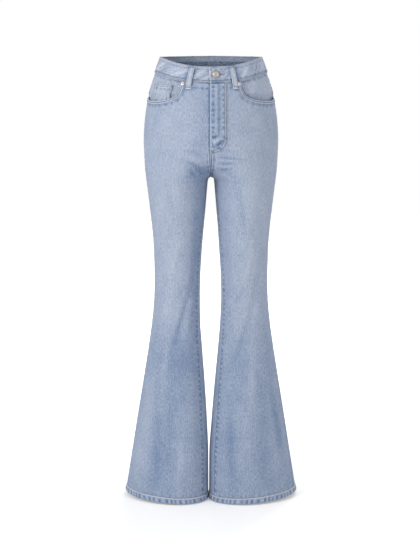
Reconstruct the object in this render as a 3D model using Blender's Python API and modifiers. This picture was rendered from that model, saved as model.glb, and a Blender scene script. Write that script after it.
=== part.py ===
"""Flared jeans, filled out and hollow, as a waist holds them up.

Metres, +Z up, the front faces -Y, and the origin is the middle of the waist. Sides are the wearer's: left is +X.
Every cloth piece is a patch of one surface. Each half of the garment is a stack of ellipses whose sizes come from
the SECTIONS table, and above the crotch each half is cut at the middle plane, where it meets the other half.
On an ellipse the angle 0 is the inseam side, 90 the front, 180 the side seam and 270 the back.
"""

import math

import bmesh
import bpy
import numpy as np

MM = 0.001
RIGHT, LEFT = -1, 1
SIDES = {"right": RIGHT, "left": LEFT}

# Cloth
CLOTH = 1.5 * MM
SEAM_GAP = 0.3 * MM
TRIM_CLOTH = 1.2 * MM
ON_PANEL = 0.3 * MM

# Levels
SIDE_TOP = 20 * MM
BACK_RISE = 2.5 * MM
FRONT_DIP = 24.8 * MM
DIP_POWER = 2.1
BAND_HEIGHT = 40 * MM
BAND_TO_FRONT = 0.5 * MM
BAND_TO_SIDE = 0.9 * MM
CROTCH = -276 * MM
HEM_INNER = -1097 * MM
HEM_OUTER_LIFT = 8 * MM
HEM_HEIGHT = 15 * MM
HEM_OUT = 0.8 * MM
HEM_WALL = 3.0 * MM

# Waistband, whose left end laps over the right one
BAND_OUT = 1.0 * MM
BAND_WALL = 2.5 * MM
BAND_END = -2.4
BAND_UNDER_END = 14.2
BAND_STEP_START = 338.0
BAND_STEP_COLUMNS = (350.0, 355.5)
BAND_ROWS = 4

# Front pocket mouth, in degrees round from the middle of the front
MOUTH_START = 28.3
MOUTH_DEPTH = 47 * MM
MOUTH_POWER = 3.4
MOUTH_RISE = 7 * MM
FACING_START = 24.0
FACING_END = 89.7
FACING_BOTTOM = -106 * MM
FACING_BEHIND = -4.5 * MM
FACING_FLUSH = -0.3 * MM
FACING_SLOPE = 18 * MM
FACING_SLOPE_ANGLE = 14.0
FACING_SLOPE_FROM = 0.25
COIN_ANGLES = (41.6, 65.0)
COIN_TOPS = (-52 * MM, -48 * MM)
COIN_BOTTOM = -94 * MM
COIN_CLEAR = 0.7 * MM

# Fly
FLY_EDGE = -5.5 * MM
FLY_WIDTH = 39.5 * MM
FLY_STRAIGHT_END = -178 * MM
FLY_BOTTOM = -212 * MM
FLY_TIP = 3 * MM

# Back
YOKE_SIDE = -62 * MM
YOKE_MIDDLE = -90 * MM
POCKET_TOPS = (-103 * MM, -95 * MM)
POCKET_CORNERS = (-222 * MM, -214 * MM)
POCKET_POINT = 24 * MM
POCKET_TOP_SPAN = (0.15, 0.74)
POCKET_BOTTOM_SPAN = (0.19, 0.69)
POCKET_CLEAR = 0.7 * MM
POCKET_COLUMNS = 13

# Belt loops: name, degrees round from the front towards the left at the top and at the bottom
LOOPS = (
    ("belt_loop_front_right", -21.2, -22.7),
    ("belt_loop_front_left", 22.3, 24.0),
    ("belt_loop_back_right", -124.0, -124.0),
    ("belt_loop_back_left", 124.0, 124.0),
    ("belt_loop_back_middle", 180.0, 180.0),
)
LOOP_WIDTH = 13 * MM
LOOP_BELOW_TOP = 2.5 * MM
LOOP_STAND = 3.3 * MM
# Down a belt loop in millimetres, and how much of its stand it has there: both ends are tacked flat
LOOP_SHAPE = ((0, 0), (5, 0), (8, 0.6), (11, 0.95), (27, 1), (43, 0.95), (46, 0.6), (49, 0), (54, 0))

# Button and rivets. A cap is a profile of radius and height in millimetres, from its middle to its lower side.
BUTTON_X = 10.9 * MM
BUTTON_Z = -23.6 * MM
BUTTON_CAP = ((0, 3.4), (3.5, 3.6), (6.2, 3.6), (7.6, 3.1), (8.3, 2.0), (7.9, 1.0), (5.0, 0.6), (1.7, 0.6))
BUTTONHOLE_EYE = 4.6 * MM
BUTTONHOLE_END = 31 * MM
BUTTONHOLE_SLIT = 1.0 * MM
RIVET_CAP = ((0, 1.2), (1.2, 1.2), (1.7, 1.7), (2.9, 1.8), (4.0, 1.2), (4.5, 0.3), (4.3, 0.0), (0, 0.0))
RIVETS = (("rivet_right", -68 * MM, -46.2 * MM), ("rivet_left", 67 * MM, -46.2 * MM))

# Body sections, top to bottom, in millimetres. turn is how far the outer side is set back, per unit of width.
SECTION_COLUMNS = ("z", "outer", "centre", "inner_right", "inner_left", "front", "back", "turn")
SECTIONS = (
    (30, 119, 0, -119, -119, 93.5, 93.5, 0.00),
    (20, 123.6, 0, -123.6, -123.6, 95, 95, 0.00),
    (-10, 134.6, 0, -134.6, -134.6, 99, 99, 0.00),
    (-24, 139, 0, -139, -139, 100.5, 101.5, 0.00),
    (-40, 145, 0, -145, -145, 103, 104, 0.00),
    (-100, 159, 0, -159, -159, 111, 116, 0.00),
    (-126, 163.1, 0, -163.1, -163.1, 112.5, 121.5, 0.00),
    (-150, 165.6, 5, -160, -160, 113, 125.5, 0.00),
    (-185, 167.3, 21, -135, -135, 112, 128, 0.00),
    (-216, 166.4, 43, -85, -85, 109, 126.5, 0.00),
    (-248, 165, 63, -34, -34, 104, 120.5, 0.00),
    (-262, 163.8, 70, -15, -15, 101.5, 117, 0.00),
    (-270, 163, 73, -5.5, -5.5, 100, 115, 0.00),
    (-274, 162.6, 74.4, -1.3, -1.3, 99.5, 114, 0.00),
    (-276, 162.3, 75, 0.15, 0.15, 99, 113.5, 0.00),
    (-279, 162, 75.8, 5.5, 5.5, 98.5, 112.6, 0.00),
    (-284, 161.4, 77.2, 7.4, 7.4, 97.5, 111, 0.00),
    (-306, 158.6, 81, 9.7, 9.2, 94, 104.5, 0.00),
    (-366, 151.5, 83.3, 14.7, 14.2, 84.5, 88.5, 0.02),
    (-457, 143.7, 83, 22.8, 20.6, 72, 72, 0.04),
    (-533, 142.1, 84, 27.0, 24.8, 63.5, 61, 0.06),
    (-579, 143.5, 85, 27.7, 25.3, 61, 57.5, 0.07),
    (-641, 149.2, 87, 27.0, 22.9, 60.5, 58, 0.09),
    (-703, 157.9, 89.5, 22.7, 17.9, 62, 62, 0.11),
    (-796, 172.8, 93, 15.9, 9.3, 67, 70, 0.14),
    (-890, 188.2, 97, 10.4, 1.7, 72.5, 77, 0.16),
    (-985, 203.3, 102.5, 7.1, -4.3, 79, 83, 0.18),
    (-1050, 213.9, 107, 7.3, -4.6, 83.5, 86.5, 0.2),
    (-1105, 222.8, 111, 7.6, -4.6, 87, 89, 0.2),
)

# How far, in degrees, the two long seams of a leg turn to its front
SEAM_TURN_COLUMNS = ("z", "inseam", "side_right", "side_left")
SEAM_TURNS = (
    (-1105, 27, 5, 18),
    (-860, 30, 4, 12),
    (-560, 24, 2, 4),
    (-350, 14, 0, 0),
    (-276, 0, 0, 0),
    (30, 0, 0, 0),
)

# Angle that the columns of the front and back panels lean towards, so that they run evenly past the crotch
LEAN_COLUMNS = ("z", "front", "back")
LEANS = (
    (-1105, 27, -27),
    (-860, 30, -30),
    (-560, 24, -24),
    (-400, 17, -12),
    (-350, 18, 0),
    (-306, 24, 14),
    (-276, 33, 28),
    (-248, 46, 44),
    (-216, 62, 61),
    (-180, 78, 78),
    (-126, 90, 90),
    (30, 90, 90),
)

# Largest folds: side, angle and z of the middle, half length, half width, slope in degrees from level, and how far
# out, with lengths in millimetres
FOLDS = (
    ("right", 72, -620, 95, 15, -64, -4.0),
    ("right", 118, -610, 80, 18, -75, 2.0),
    ("right", 92, -880, 130, 17, -90, -4.0),
    ("right", 138, -900, 140, 24, -90, 2.5),
    ("right", 56, -930, 120, 16, -90, 2.0),
    ("left", 115, -940, 130, 18, -92, -4.0),
    ("left", 84, -900, 130, 20, -88, 2.5),
    ("left", 108, -600, 90, 15, 70, -2.5),
    ("right", 70, -250, 30, 8, 26, -3.0),
    ("left", 74, -236, 30, 8, -6, -2.5),
    ("left", 66, -257, 25, 7, 6, -2.5),
    ("right", 285, -302, 42, 11, 15, -4.0),
    ("right", 275, -342, 36, 10, 12, -3.0),
    ("left", 286, -306, 44, 11, 14, -4.0),
    ("left", 274, -348, 36, 10, 10, -3.0),
    ("right", 270, -556, 36, 11, 10, -3.5),
    ("right", 262, -606, 32, 10, -12, -3.0),
    ("left", 268, -548, 36, 11, -9, -3.5),
    ("left", 278, -600, 32, 10, 12, -3.0),
    ("right", 250, -930, 130, 18, 90, -3.5),
    ("left", 290, -920, 130, 18, 90, -3.5),
)
FOLD_ARC = 100 * MM

# Where the columns of a panel lie, from its middle or inner seam (0) to its side seam (1), and its rows
FRONT_SPREAD = (0, 0.03, 0.11, 0.21, 0.314, 0.34, 0.375, 0.43, 0.52, 0.63, 0.74, 0.85, 0.94, 1)
BACK_SPREAD = (0, 0.03, 0.11, 0.22, 0.33, 0.44, 0.55, 0.66, 0.77, 0.88, 0.97, 1)
YOKE_SPREAD = (0, 0.11, 0.22, 0.33, 0.44, 0.55, 0.66, 0.77, 0.88, 1)
TOP_ZONE_END = -126 * MM
TOP_ZONE_ROWS = 4
BODY_ROWS_MM = (-126, -152, -180, -206, -228, -248, -262, -270, -274, -276, -279, -284, -296, -320, -350, -386,
                -422, -460, -498, -536, -572, -610, -652, -698, -746, -796, -845, -895, -945, -992, -1035)


def column(columns, rows, name):
    return np.array([row[columns.index(name)] for row in rows], float)


def smooth(xs, ys, x):
    """Cubic through the points (xs, ys) that never overshoots between two of them."""
    order = np.argsort(xs)
    xs, ys = xs[order], ys[order]
    step = np.diff(xs)
    slope = np.diff(ys) / step
    rising = slope[:-1] * slope[1:] > 0
    before = np.where(rising, slope[:-1], 1)
    after = np.where(rising, slope[1:], 1)
    first, last = 2 * step[1:] + step[:-1], step[1:] + 2 * step[:-1]
    tangent = np.concatenate([slope[:1], np.where(rising, (first + last) / (first / before + last / after), 0),
                              slope[-1:]])
    i = np.clip(np.searchsorted(xs, x) - 1, 0, len(step) - 1)
    t = (x - xs[i]) / step[i]
    return ((1 + 2 * t) * (1 - t) ** 2 * ys[i] + t * (1 - t) ** 2 * step[i] * tangent[i]
            + t * t * (3 - 2 * t) * ys[i + 1] + t * t * (t - 1) * step[i] * tangent[i + 1])


def section(side, z):
    """Sizes of one half of the garment at z, by name. Its inner and outer halves are quarter ellipses that meet."""
    level = column(SECTION_COLUMNS, SECTIONS, "z")
    read = {name: smooth(level, column(SECTION_COLUMNS, SECTIONS, name), z / MM) for name in SECTION_COLUMNS[1:]}
    inner = read["inner_left" if side == LEFT else "inner_right"]
    return {
        "centre": read["centre"] * MM,
        "inward": (read["centre"] - inner) * MM,
        "outward": (read["outer"] - read["centre"]) * MM,
        "depth": (read["front"] + read["back"]) / 2 * MM,
        "middle": (read["back"] - read["front"]) / 2 * MM,
        "turn": read["turn"],
    }


def fold_out(side, angle, z):
    """How far the folds move the cloth out: each is a bell across a line on the cloth, and fades along it."""
    total = np.zeros(np.broadcast(angle, z).shape)
    for fold_side, where, level, half_length, half_width, slope, out in FOLDS:
        if SIDES[fold_side] != side:
            continue
        across = np.radians(angle - where) * FOLD_ARC / MM
        up = z / MM - level
        lean = math.radians(slope)
        along = (across * math.cos(lean) + up * math.sin(lean)) / half_length
        off = (up * math.cos(lean) - across * math.sin(lean)) / half_width
        total = total + out * MM * np.exp(-along**2 - off**2)
    return total


def surface(side, angle, z, out=0.0):
    """Points of one half at the angles and levels, moved out level by `out`."""
    angle, z, out = np.broadcast_arrays(angle, z, out)
    size = section(side, z)
    cos, sin = np.cos(np.radians(angle)), np.sin(np.radians(angle))
    half, depth = np.where(cos > 0, size["inward"], size["outward"]), size["depth"]
    away = np.stack([-cos * depth, -sin * half]) / np.hypot(cos * depth, sin * half)
    move = out + fold_out(side, angle, z)
    across = -half * cos + away[0] * move
    y = size["middle"] - depth * sin + away[1] * move + size["turn"] * across
    return np.stack([side * (size["centre"] + across), y, z], axis=-1)


def seam_turn(name, z):
    level = column(SEAM_TURN_COLUMNS, SEAM_TURNS, "z")
    return smooth(level, column(SEAM_TURN_COLUMNS, SEAM_TURNS, name), z / MM)


def inner_angle(side, z, back):
    """Angle of a panel's inner edge: the middle seam above the crotch, and the inseam below it."""
    size = section(side, z)
    gap = np.degrees(SEAM_GAP / 2 / size["depth"])
    at_middle = np.degrees(np.arccos(np.clip((size["centre"] - SEAM_GAP / 2) / size["inward"], -1, 1)))
    turn = seam_turn("inseam", z)
    if back:
        return np.where(z >= CROTCH, 360 - np.maximum(at_middle, gap), 360 + turn - gap)
    return np.where(z >= CROTCH, np.maximum(at_middle, gap), turn + gap)


def side_angle(side, z, back):
    """Angle of a panel's edge at the side seam."""
    gap = np.degrees(SEAM_GAP / 2 / section(side, z)["depth"])
    seam = 180 - seam_turn("side_left" if side == LEFT else "side_right", z)
    return seam + gap if back else seam - gap


def panel_angles(side, z, spread, back):
    """Angles of a panel's columns. Only the columns near its inner edge follow that edge's quick turn at the crotch."""
    lean = smooth(column(LEAN_COLUMNS, LEANS, "z"), column(LEAN_COLUMNS, LEANS, "back" if back else "front"), z / MM)
    inner, outer = inner_angle(side, z, back), side_angle(side, z, back)
    guide = 360 - lean if back else lean
    share = 1 - spread
    return outer + (guide - outer) * share + (inner - guide) * share**4


def top_level(around):
    """Top edge of the waistband: it dips at the front and rises a little at the back."""
    sine = np.abs(np.sin(np.radians(around)))
    at_front = np.cos(np.radians(around)) > 0
    return SIDE_TOP + np.where(at_front, -FRONT_DIP * (1 - sine**DIP_POWER), BACK_RISE * (1 - sine**2))


def band_seam(around):
    return top_level(around) - BAND_HEIGHT


def below_band(around):
    """Top edge of what is sewn under the waistband, whose own lower edge leans in more at the sides."""
    sine = np.sin(np.radians(around))
    return band_seam(around) - BAND_TO_FRONT - (BAND_TO_SIDE - BAND_TO_FRONT) * sine**2


def mouth_level(around):
    """Cut edge of a front pocket mouth: a rounded corner that drops steeply, then runs to the side seam."""
    part = np.clip((np.abs(around) - MOUTH_START) / (90 - MOUTH_START), 0, 1)
    drop = (1 - (1 - part) ** MOUTH_POWER) ** (1 / MOUTH_POWER)
    return band_seam(np.maximum(np.abs(around), MOUTH_START)) * (1 - drop) + (
        (band_seam(MOUTH_START) - MOUTH_DEPTH) * drop + MOUTH_RISE * part**4)


def facing_out(around, z):
    """A facing lies behind the front panel at the mouth, and comes up flush where it is sewn in."""
    above = (z - mouth_level(around)) / FACING_SLOPE
    past = (np.abs(around) - MOUTH_START) / FACING_SLOPE_ANGLE
    rise = np.clip(np.minimum(above, past) - FACING_SLOPE_FROM, 0, 1)
    return FACING_BEHIND + (FACING_FLUSH - FACING_BEHIND) * rise * rise * (3 - 2 * rise)


def yoke_level(angle):
    return YOKE_SIDE + (YOKE_MIDDLE - YOKE_SIDE) * (angle - 180) / 90


def hem_level(angle):
    return HEM_INNER + HEM_OUTER_LIFT * ((1 - np.cos(np.radians(angle))) / 2) ** 2


def torso(around, z, out=0.0):
    """Points of the whole ring above the hips, by degrees round from the middle of the front."""
    around = np.asarray(around, float)
    turned = (around + 180) % 360 - 180
    left = surface(LEFT, 90 + np.abs(turned), z, out)
    return left * np.stack([np.where(turned < 0, -1.0, 1.0) * np.ones(left.shape[:-1]),
                            np.ones(left.shape[:-1]), np.ones(left.shape[:-1])], axis=-1)


def front_points(x, z, out=0.0):
    """Points of the front at the sideways places x, on either half."""
    found = []
    for side in (RIGHT, LEFT):
        size = section(side, z)
        inward = size["centre"] - np.abs(x)
        share = inward / np.where(inward > 0, size["inward"], size["outward"])
        found.append(surface(side, np.degrees(np.arccos(np.clip(share, -1, 1))), z, out))
    return np.where((np.asarray(x) < 0)[..., None], found[0], found[1])


def material(name, colour, roughness, metallic=0.0):
    made = bpy.data.materials.new(name)
    made.use_nodes = True
    shader = made.node_tree.nodes["Principled BSDF"]
    shader.inputs["Base Color"].default_value = (*colour, 1)
    shader.inputs["Roughness"].default_value = roughness
    shader.inputs["Metallic"].default_value = metallic
    made.diffuse_color = (*colour, 1)
    return made


def add_object(name, mesh, look, collection):
    made = bpy.data.objects.new(name, mesh)
    made.data.materials.append(look)
    collection.objects.link(made)
    return made


def grid_mesh(name, points, closed=False):
    """Mesh of quads over a grid of points, rows by columns; closed joins the last column to the first."""
    rows, columns = points.shape[:2]
    mesh = bmesh.new()
    verts = [[mesh.verts.new(point) for point in row] for row in points]
    for i in range(rows - 1):
        for j in range(columns if closed else columns - 1):
            k = (j + 1) % columns
            mesh.faces.new((verts[i][j], verts[i + 1][j], verts[i + 1][k], verts[i][k]))
    data = bpy.data.meshes.new(name)
    mesh.to_mesh(data)
    mesh.free()
    return data


def face_out(data, outward):
    """Turns every face round if the mesh faces against `outward`, the way that its first face should look."""
    data.update()
    if data.polygons[0].normal.dot(outward) < 0:
        data.flip_normals()
    data.shade_smooth()


def cloth_piece(name, points, wall, look, collection, outward, closed=False):
    """A wall on a grid of points: the grid is the outer side, and Solidify puts the thickness inside it."""
    data = grid_mesh(name, points, closed)
    face_out(data, outward)
    piece = add_object(name, data, look, collection)
    thick = piece.modifiers.new("wall", "SOLIDIFY")
    thick.thickness = wall
    thick.offset = -1
    thick.use_even_offset = False
    return piece


def outward_at(points, side):
    """The way out at the first corner of a grid, from the middle of its half."""
    corner = points[:2, :2].mean(axis=(0, 1))
    return tuple(corner - np.array([side * 0.02, 0.01, corner[2]]))


def panel(name, side, back, look, collection):
    """A front or back panel, from its top edge to the top of the hem."""
    spread = np.array(BACK_SPREAD if back else FRONT_SPREAD)
    rows = np.array(BODY_ROWS_MM) * MM
    start = 90 + spread * 90 if not back else 270 - spread * 90
    if back:
        tops = yoke_level(start) - SEAM_GAP / 2
    else:
        tops = np.minimum(below_band(start - 90), mouth_level(start - 90))
    share = np.linspace(0, 1, TOP_ZONE_ROWS + 1)[:-1, None]
    upper = tops * (1 - share) + TOP_ZONE_END * share
    middle = np.repeat(rows[:, None], len(spread), axis=1)
    lowest = panel_angles(side, middle[-1], spread, back)
    bottom = hem_level(lowest) + HEM_HEIGHT + SEAM_GAP
    levels = np.concatenate([upper, middle, bottom[None]])
    points = surface(side, panel_angles(side, levels, spread, back), levels)
    return cloth_piece(name, points, CLOTH, look, collection, outward_at(points, side))


def yoke(name, side, look, collection):
    spread = np.array(YOKE_SPREAD)
    start = 270 - spread * 90
    share = np.linspace(0, 1, 4)[:, None]
    tops = below_band(start - 90)
    bottoms = yoke_level(start) + SEAM_GAP / 2
    levels = tops * (1 - share) + bottoms * share
    points = surface(side, panel_angles(side, levels, spread, True), levels)
    return cloth_piece(name, points, CLOTH, look, collection, outward_at(points, side))


def facing(name, side, look, collection):
    """The cloth that shows inside a front pocket mouth, set in behind the front panel."""
    around = np.linspace(FACING_START, FACING_END, 12)
    share = np.linspace(0, 1, 9)[:, None]
    levels = below_band(around) * (1 - share) + FACING_BOTTOM * share
    around = np.broadcast_to(side * around, levels.shape)
    points = torso(around, levels, facing_out(around, levels))
    return cloth_piece(name, points, TRIM_CLOTH, look, collection, outward_at(points, side))


def coin_pocket(look, collection):
    around = np.linspace(*COIN_ANGLES, 7)
    share = np.linspace(0, 1, 8)[:, None]
    levels = np.linspace(*COIN_TOPS, 7) * (1 - share) + COIN_BOTTOM * share
    around = np.broadcast_to(-around, levels.shape)
    points = torso(around, levels, facing_out(around, levels) + COIN_CLEAR + TRIM_CLOTH)
    return cloth_piece("coin_pocket", points, TRIM_CLOTH, look, collection, outward_at(points, RIGHT))


def fly(look, collection):
    """The J shaped lap: straight down from the waistband, then a quarter turn in to the middle seam."""
    straight = np.linspace(below_band(0), FLY_STRAIGHT_END, 8)
    turn = np.radians(np.linspace(0, 90, 6)[1:])
    curve = FLY_STRAIGHT_END + (FLY_BOTTOM - FLY_STRAIGHT_END) * np.sin(turn)
    widths = np.concatenate([np.full(len(straight), FLY_WIDTH), FLY_TIP + (FLY_WIDTH - FLY_TIP) * np.cos(turn)])
    share = np.linspace(0, 1, 7)
    levels = np.repeat(np.concatenate([straight, curve])[:, None], len(share), axis=1)
    # The top row follows the waistband's seam
    x = FLY_EDGE + widths[:, None] * share
    slant = band_seam(np.degrees(np.arcsin(x[0] / section(LEFT, straight[0])["outward"]))) - band_seam(0)
    levels[: len(straight)] += slant * np.linspace(1, 0, len(straight))[:, None]
    points = front_points(x, levels, ON_PANEL + TRIM_CLOTH)
    return cloth_piece("fly", points, TRIM_CLOTH, look, collection, (0, -1, 0))


def back_pocket(name, side, look, collection):
    """A five cornered patch on the back panel, made from the panel's own points."""
    across = np.linspace(0, 1, POCKET_COLUMNS)
    down = np.linspace(0, 1, 8)[:, None]
    tops = np.linspace(*POCKET_TOPS, POCKET_COLUMNS)
    bottoms = np.linspace(*POCKET_CORNERS, POCKET_COLUMNS) - POCKET_POINT * (1 - np.abs(2 * across - 1))
    levels = tops * (1 - down) + bottoms * down
    low, high = (np.array(POCKET_TOP_SPAN)[k] * (1 - down) + np.array(POCKET_BOTTOM_SPAN)[k] * down
                 for k in (0, 1))
    spread = low + (high - low) * across
    points = surface(side, panel_angles(side, levels, spread, True), levels, POCKET_CLEAR + TRIM_CLOTH)
    return cloth_piece(name, points, TRIM_CLOTH, look, collection, outward_at(points, side))


def hem(name, side, look, collection):
    """The turned hem: a ring of double cloth, a little proud of the leg."""
    angles = np.linspace(0, 360, 33)[:-1]
    levels = hem_level(angles) + np.linspace(HEM_HEIGHT, 0, 3)[:, None]
    points = surface(side, np.broadcast_to(angles, levels.shape), levels, HEM_OUT)
    return cloth_piece(name, points, HEM_WALL, look, collection, outward_at(points, side), closed=True)


def waistband(look, collection):
    """One strip round the waist. Past the step its right end runs on behind the left one."""
    front = np.array(FRONT_SPREAD) * 90
    lap = np.concatenate([[BAND_END], front[(front > 0) & (front < BAND_UNDER_END)], [BAND_UNDER_END]])
    left = np.concatenate([front[front > BAND_UNDER_END][:-1], 180 - np.array(YOKE_SPREAD)[::-1] * 90])
    right = 360 - left[::-1][1:]
    around = np.concatenate([lap, left, right, BAND_STEP_COLUMNS, 360 + lap])
    inset = BAND_WALL + SEAM_GAP
    ramp = np.clip((around - BAND_STEP_START) / (BAND_STEP_COLUMNS[-1] - BAND_STEP_START), 0, 1)
    out = BAND_OUT - inset * ramp * ramp * (3 - 2 * ramp)
    levels = band_seam(around) + BAND_HEIGHT * np.linspace(1, 0, BAND_ROWS)[:, None]
    points = torso(np.broadcast_to(around, levels.shape), levels, out)
    return cloth_piece("waistband", points, BAND_WALL, look, collection, (0, -1, 0))


def belt_loop(name, around_top, around_bottom, look, collection):
    """A strip tacked flat at both ends, which stands off the band between them."""
    down, rise = np.array(LOOP_SHAPE).T
    down = down * MM
    part = down / down[-1]
    rests = np.where(part < 0.5, BAND_OUT, 0)
    inner = ON_PANEL + np.maximum(rise * (BAND_OUT + LOOP_STAND), rests)
    around = around_top + (around_bottom - around_top) * part
    levels = top_level(around) - LOOP_BELOW_TOP - down
    size = section(LEFT, levels)
    swing = np.hypot(size["outward"] * np.cos(np.radians(around)), size["depth"] * np.sin(np.radians(around)))
    half_turn = np.degrees(LOOP_WIDTH / 2 / swing)
    columns = np.linspace(-1, 1, 3)
    angles = around[:, None] + half_turn[:, None] * columns
    levels = np.repeat(levels[:, None], len(columns), axis=1)
    points = torso(angles, levels, (inner + TRIM_CLOTH)[:, None])
    sine, cosine = math.sin(math.radians(around_top)), math.cos(math.radians(around_top))
    return cloth_piece(name, points, TRIM_CLOTH, look, collection, (sine, -cosine, 0))


def turned(name, profile, look, collection, segments=24):
    """A turned piece whose axis is local Z: its profile runs down the outer side, top to bottom."""
    mesh = bmesh.new()
    verts = [mesh.verts.new((radius, 0, height)) for radius, height in profile]
    for first, second in zip(verts, verts[1:]):
        mesh.edges.new((first, second))
    data = bpy.data.meshes.new(name)
    mesh.to_mesh(data)
    mesh.free()
    piece = add_object(name, data, look, collection)
    spin = piece.modifiers.new("turn", "SCREW")
    spin.steps = spin.render_steps = segments
    spin.use_merge_vertices = True
    spin.merge_threshold = 0.00001
    spin.use_smooth_shade = True
    return piece


def place_on_front(piece, x, z, out):
    """Stands a turned piece on the front at (x, z), its axis along the way out of the cloth."""
    spot, right, below = (front_points(np.array(px), np.array(pz), out)
                          for px, pz in ((x, z), (x + MM, z), (x, z - MM)))
    normal = np.cross(right - spot, below - spot)
    normal = normal / np.linalg.norm(normal)
    if normal[1] > 0:
        normal = -normal
    piece.location = spot
    piece.rotation_euler = (math.atan2(math.hypot(normal[0], normal[1]), normal[2]), 0,
                            math.atan2(normal[0], -normal[1]))


def button(look, collection):
    """Cap, and a shank that passes through the buttonhole to the layer below."""
    profile = [(radius * MM, height * MM) for radius, height in BUTTON_CAP]
    foot = -(BAND_WALL + SEAM_GAP - ON_PANEL)
    profile += [(profile[-1][0], foot), (0, foot)]
    piece = turned("button", profile, look, collection)
    place_on_front(piece, BUTTON_X, BUTTON_Z, BAND_OUT)
    return piece


def rivet(name, x, z, look, collection):
    profile = [(radius * MM, height * MM) for radius, height in RIVET_CAP]
    piece = turned(name, profile, look, collection, segments=16)
    place_on_front(piece, x, z, ON_PANEL)
    return piece


def cut_buttonhole(band, look, cutters):
    """An eye round the shank and a slit beside it, through the outer layer of the lap only."""
    reach = BAND_OUT + BAND_WALL
    depth = reach + BAND_WALL + SEAM_GAP / 2
    shapes = (("buttonhole_eye", BUTTON_X - BUTTONHOLE_EYE / 2, BUTTON_X + BUTTONHOLE_EYE / 2, BUTTONHOLE_EYE / 2),
              ("buttonhole_slit", BUTTON_X, BUTTONHOLE_END, BUTTONHOLE_SLIT / 2))
    for name, left, right, half_height in shapes:
        x, z = np.meshgrid(np.linspace(left, right, 5), BUTTON_Z + np.array([half_height, -half_height]))
        points = front_points(x, z, BAND_OUT + reach)
        cutter = cloth_piece(name, points, depth, look, cutters, (0, -1, 0))
        cutter.hide_render = True
        cutter.display_type = "WIRE"
        cut = band.modifiers.new(name, "BOOLEAN")
        cut.operation = "DIFFERENCE"
        cut.solver = "EXACT"
        cut.object = cutter


def main():
    for old in list(bpy.data.objects):
        bpy.data.objects.remove(old, do_unlink=True)
    jeans = bpy.data.collections.new("bootcut_jeans")
    cutters = bpy.data.collections.new("cutters")
    for made in (jeans, cutters):
        bpy.context.scene.collection.children.link(made)
    denim = material("denim", (0.40, 0.47, 0.58), 0.85)
    denim_trim = material("denim_trim", (0.34, 0.41, 0.53), 0.85)
    silver = material("button_metal", (0.62, 0.56, 0.50), 0.35, 1.0)
    copper = material("rivet_metal", (0.66, 0.50, 0.40), 0.35, 1.0)
    for word, side in SIDES.items():
        panel(f"front_{word}", side, False, denim, jeans)
        panel(f"back_{word}", side, True, denim, jeans)
        yoke(f"yoke_{word}", side, denim, jeans)
        facing(f"pocket_facing_{word}", side, denim_trim, jeans)
        back_pocket(f"back_pocket_{word}", side, denim, jeans)
        hem(f"hem_{word}", side, denim_trim, jeans)
    fly(denim, jeans)
    coin_pocket(denim_trim, jeans)
    band = waistband(denim, jeans)
    cut_buttonhole(band, denim, cutters)
    for name, around_top, around_bottom in LOOPS:
        belt_loop(name, around_top, around_bottom, denim_trim, jeans)
    button(silver, jeans)
    for name, x, z in RIVETS:
        rivet(name, x, z, copper, jeans)


main()
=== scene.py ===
# %% [markdown]
# # Flared jeans in washed denim
# A pair of light-blue jeans, slim to the knee and flared below it, filled out as if worn and hollow inside. The
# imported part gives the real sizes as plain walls. This lesson dresses it: each sewn piece is worked out again as a
# fine grid of points on the same surface, with the seams, puckers, thread and washed denim that the plain part lacks.

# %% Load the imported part
import math
from functools import partial

import bpy
import numpy as np
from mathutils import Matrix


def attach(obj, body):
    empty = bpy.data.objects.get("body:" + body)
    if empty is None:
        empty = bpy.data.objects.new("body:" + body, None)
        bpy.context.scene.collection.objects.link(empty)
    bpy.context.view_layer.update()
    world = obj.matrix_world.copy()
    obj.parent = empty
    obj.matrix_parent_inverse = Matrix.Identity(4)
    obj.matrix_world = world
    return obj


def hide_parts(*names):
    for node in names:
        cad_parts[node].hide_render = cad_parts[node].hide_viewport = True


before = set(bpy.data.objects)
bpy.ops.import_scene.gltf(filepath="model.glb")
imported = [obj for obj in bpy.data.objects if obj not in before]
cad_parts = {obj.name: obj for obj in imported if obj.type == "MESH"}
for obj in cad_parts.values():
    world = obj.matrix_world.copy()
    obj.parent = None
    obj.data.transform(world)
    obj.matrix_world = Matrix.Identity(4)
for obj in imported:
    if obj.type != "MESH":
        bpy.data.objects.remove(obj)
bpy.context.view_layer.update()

MM = 0.001
RIGHT, LEFT = -1, 1
SIDES = {"right": RIGHT, "left": LEFT}
print("solids in the packed part:", len(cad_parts))

# %% [markdown]
# ## Camera, floor and light
# The photograph was taken from the front, a little from above, with a long lens. Its focal length in pixels and its
# tilt were found from where the hems, the waist and the sides fall in the picture, so the camera is set from those
# numbers, with no shift. The floor is a plain pale sheet under the hems.

# %% Camera
PHOTO_HEIGHT_PX = 560
FOCAL_PX = 1403
SENSOR_MM = 36
CAMERA_TILT = math.radians(8.6)

lens = bpy.data.cameras.new("camera")
lens.sensor_width = SENSOR_MM
lens.lens = FOCAL_PX / PHOTO_HEIGHT_PX * SENSOR_MM
lens.clip_end = 100
camera = bpy.data.objects.new("camera", lens)
camera.location = (-0.0025, -3.5, -0.0077)
camera.rotation_euler = (math.pi / 2 - CAMERA_TILT, 0, 0)
bpy.context.scene.collection.objects.link(camera)
bpy.context.scene.camera = camera
print("lens", round(lens.lens, 1), "mm")

# %% [markdown]
# A studio sweep is white because it is lit by itself. Here the floor and the world show as white to the camera only,
# through Light Path, so that they don't flood the denim with light from below. One large soft lamp stands high at
# the left front, a weak one fills the right, and a third one lights the back for the other views.

# %% Floor, world and lamps
FLOOR_Z = -1.0985
FLOOR_HALF = 7.0
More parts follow.
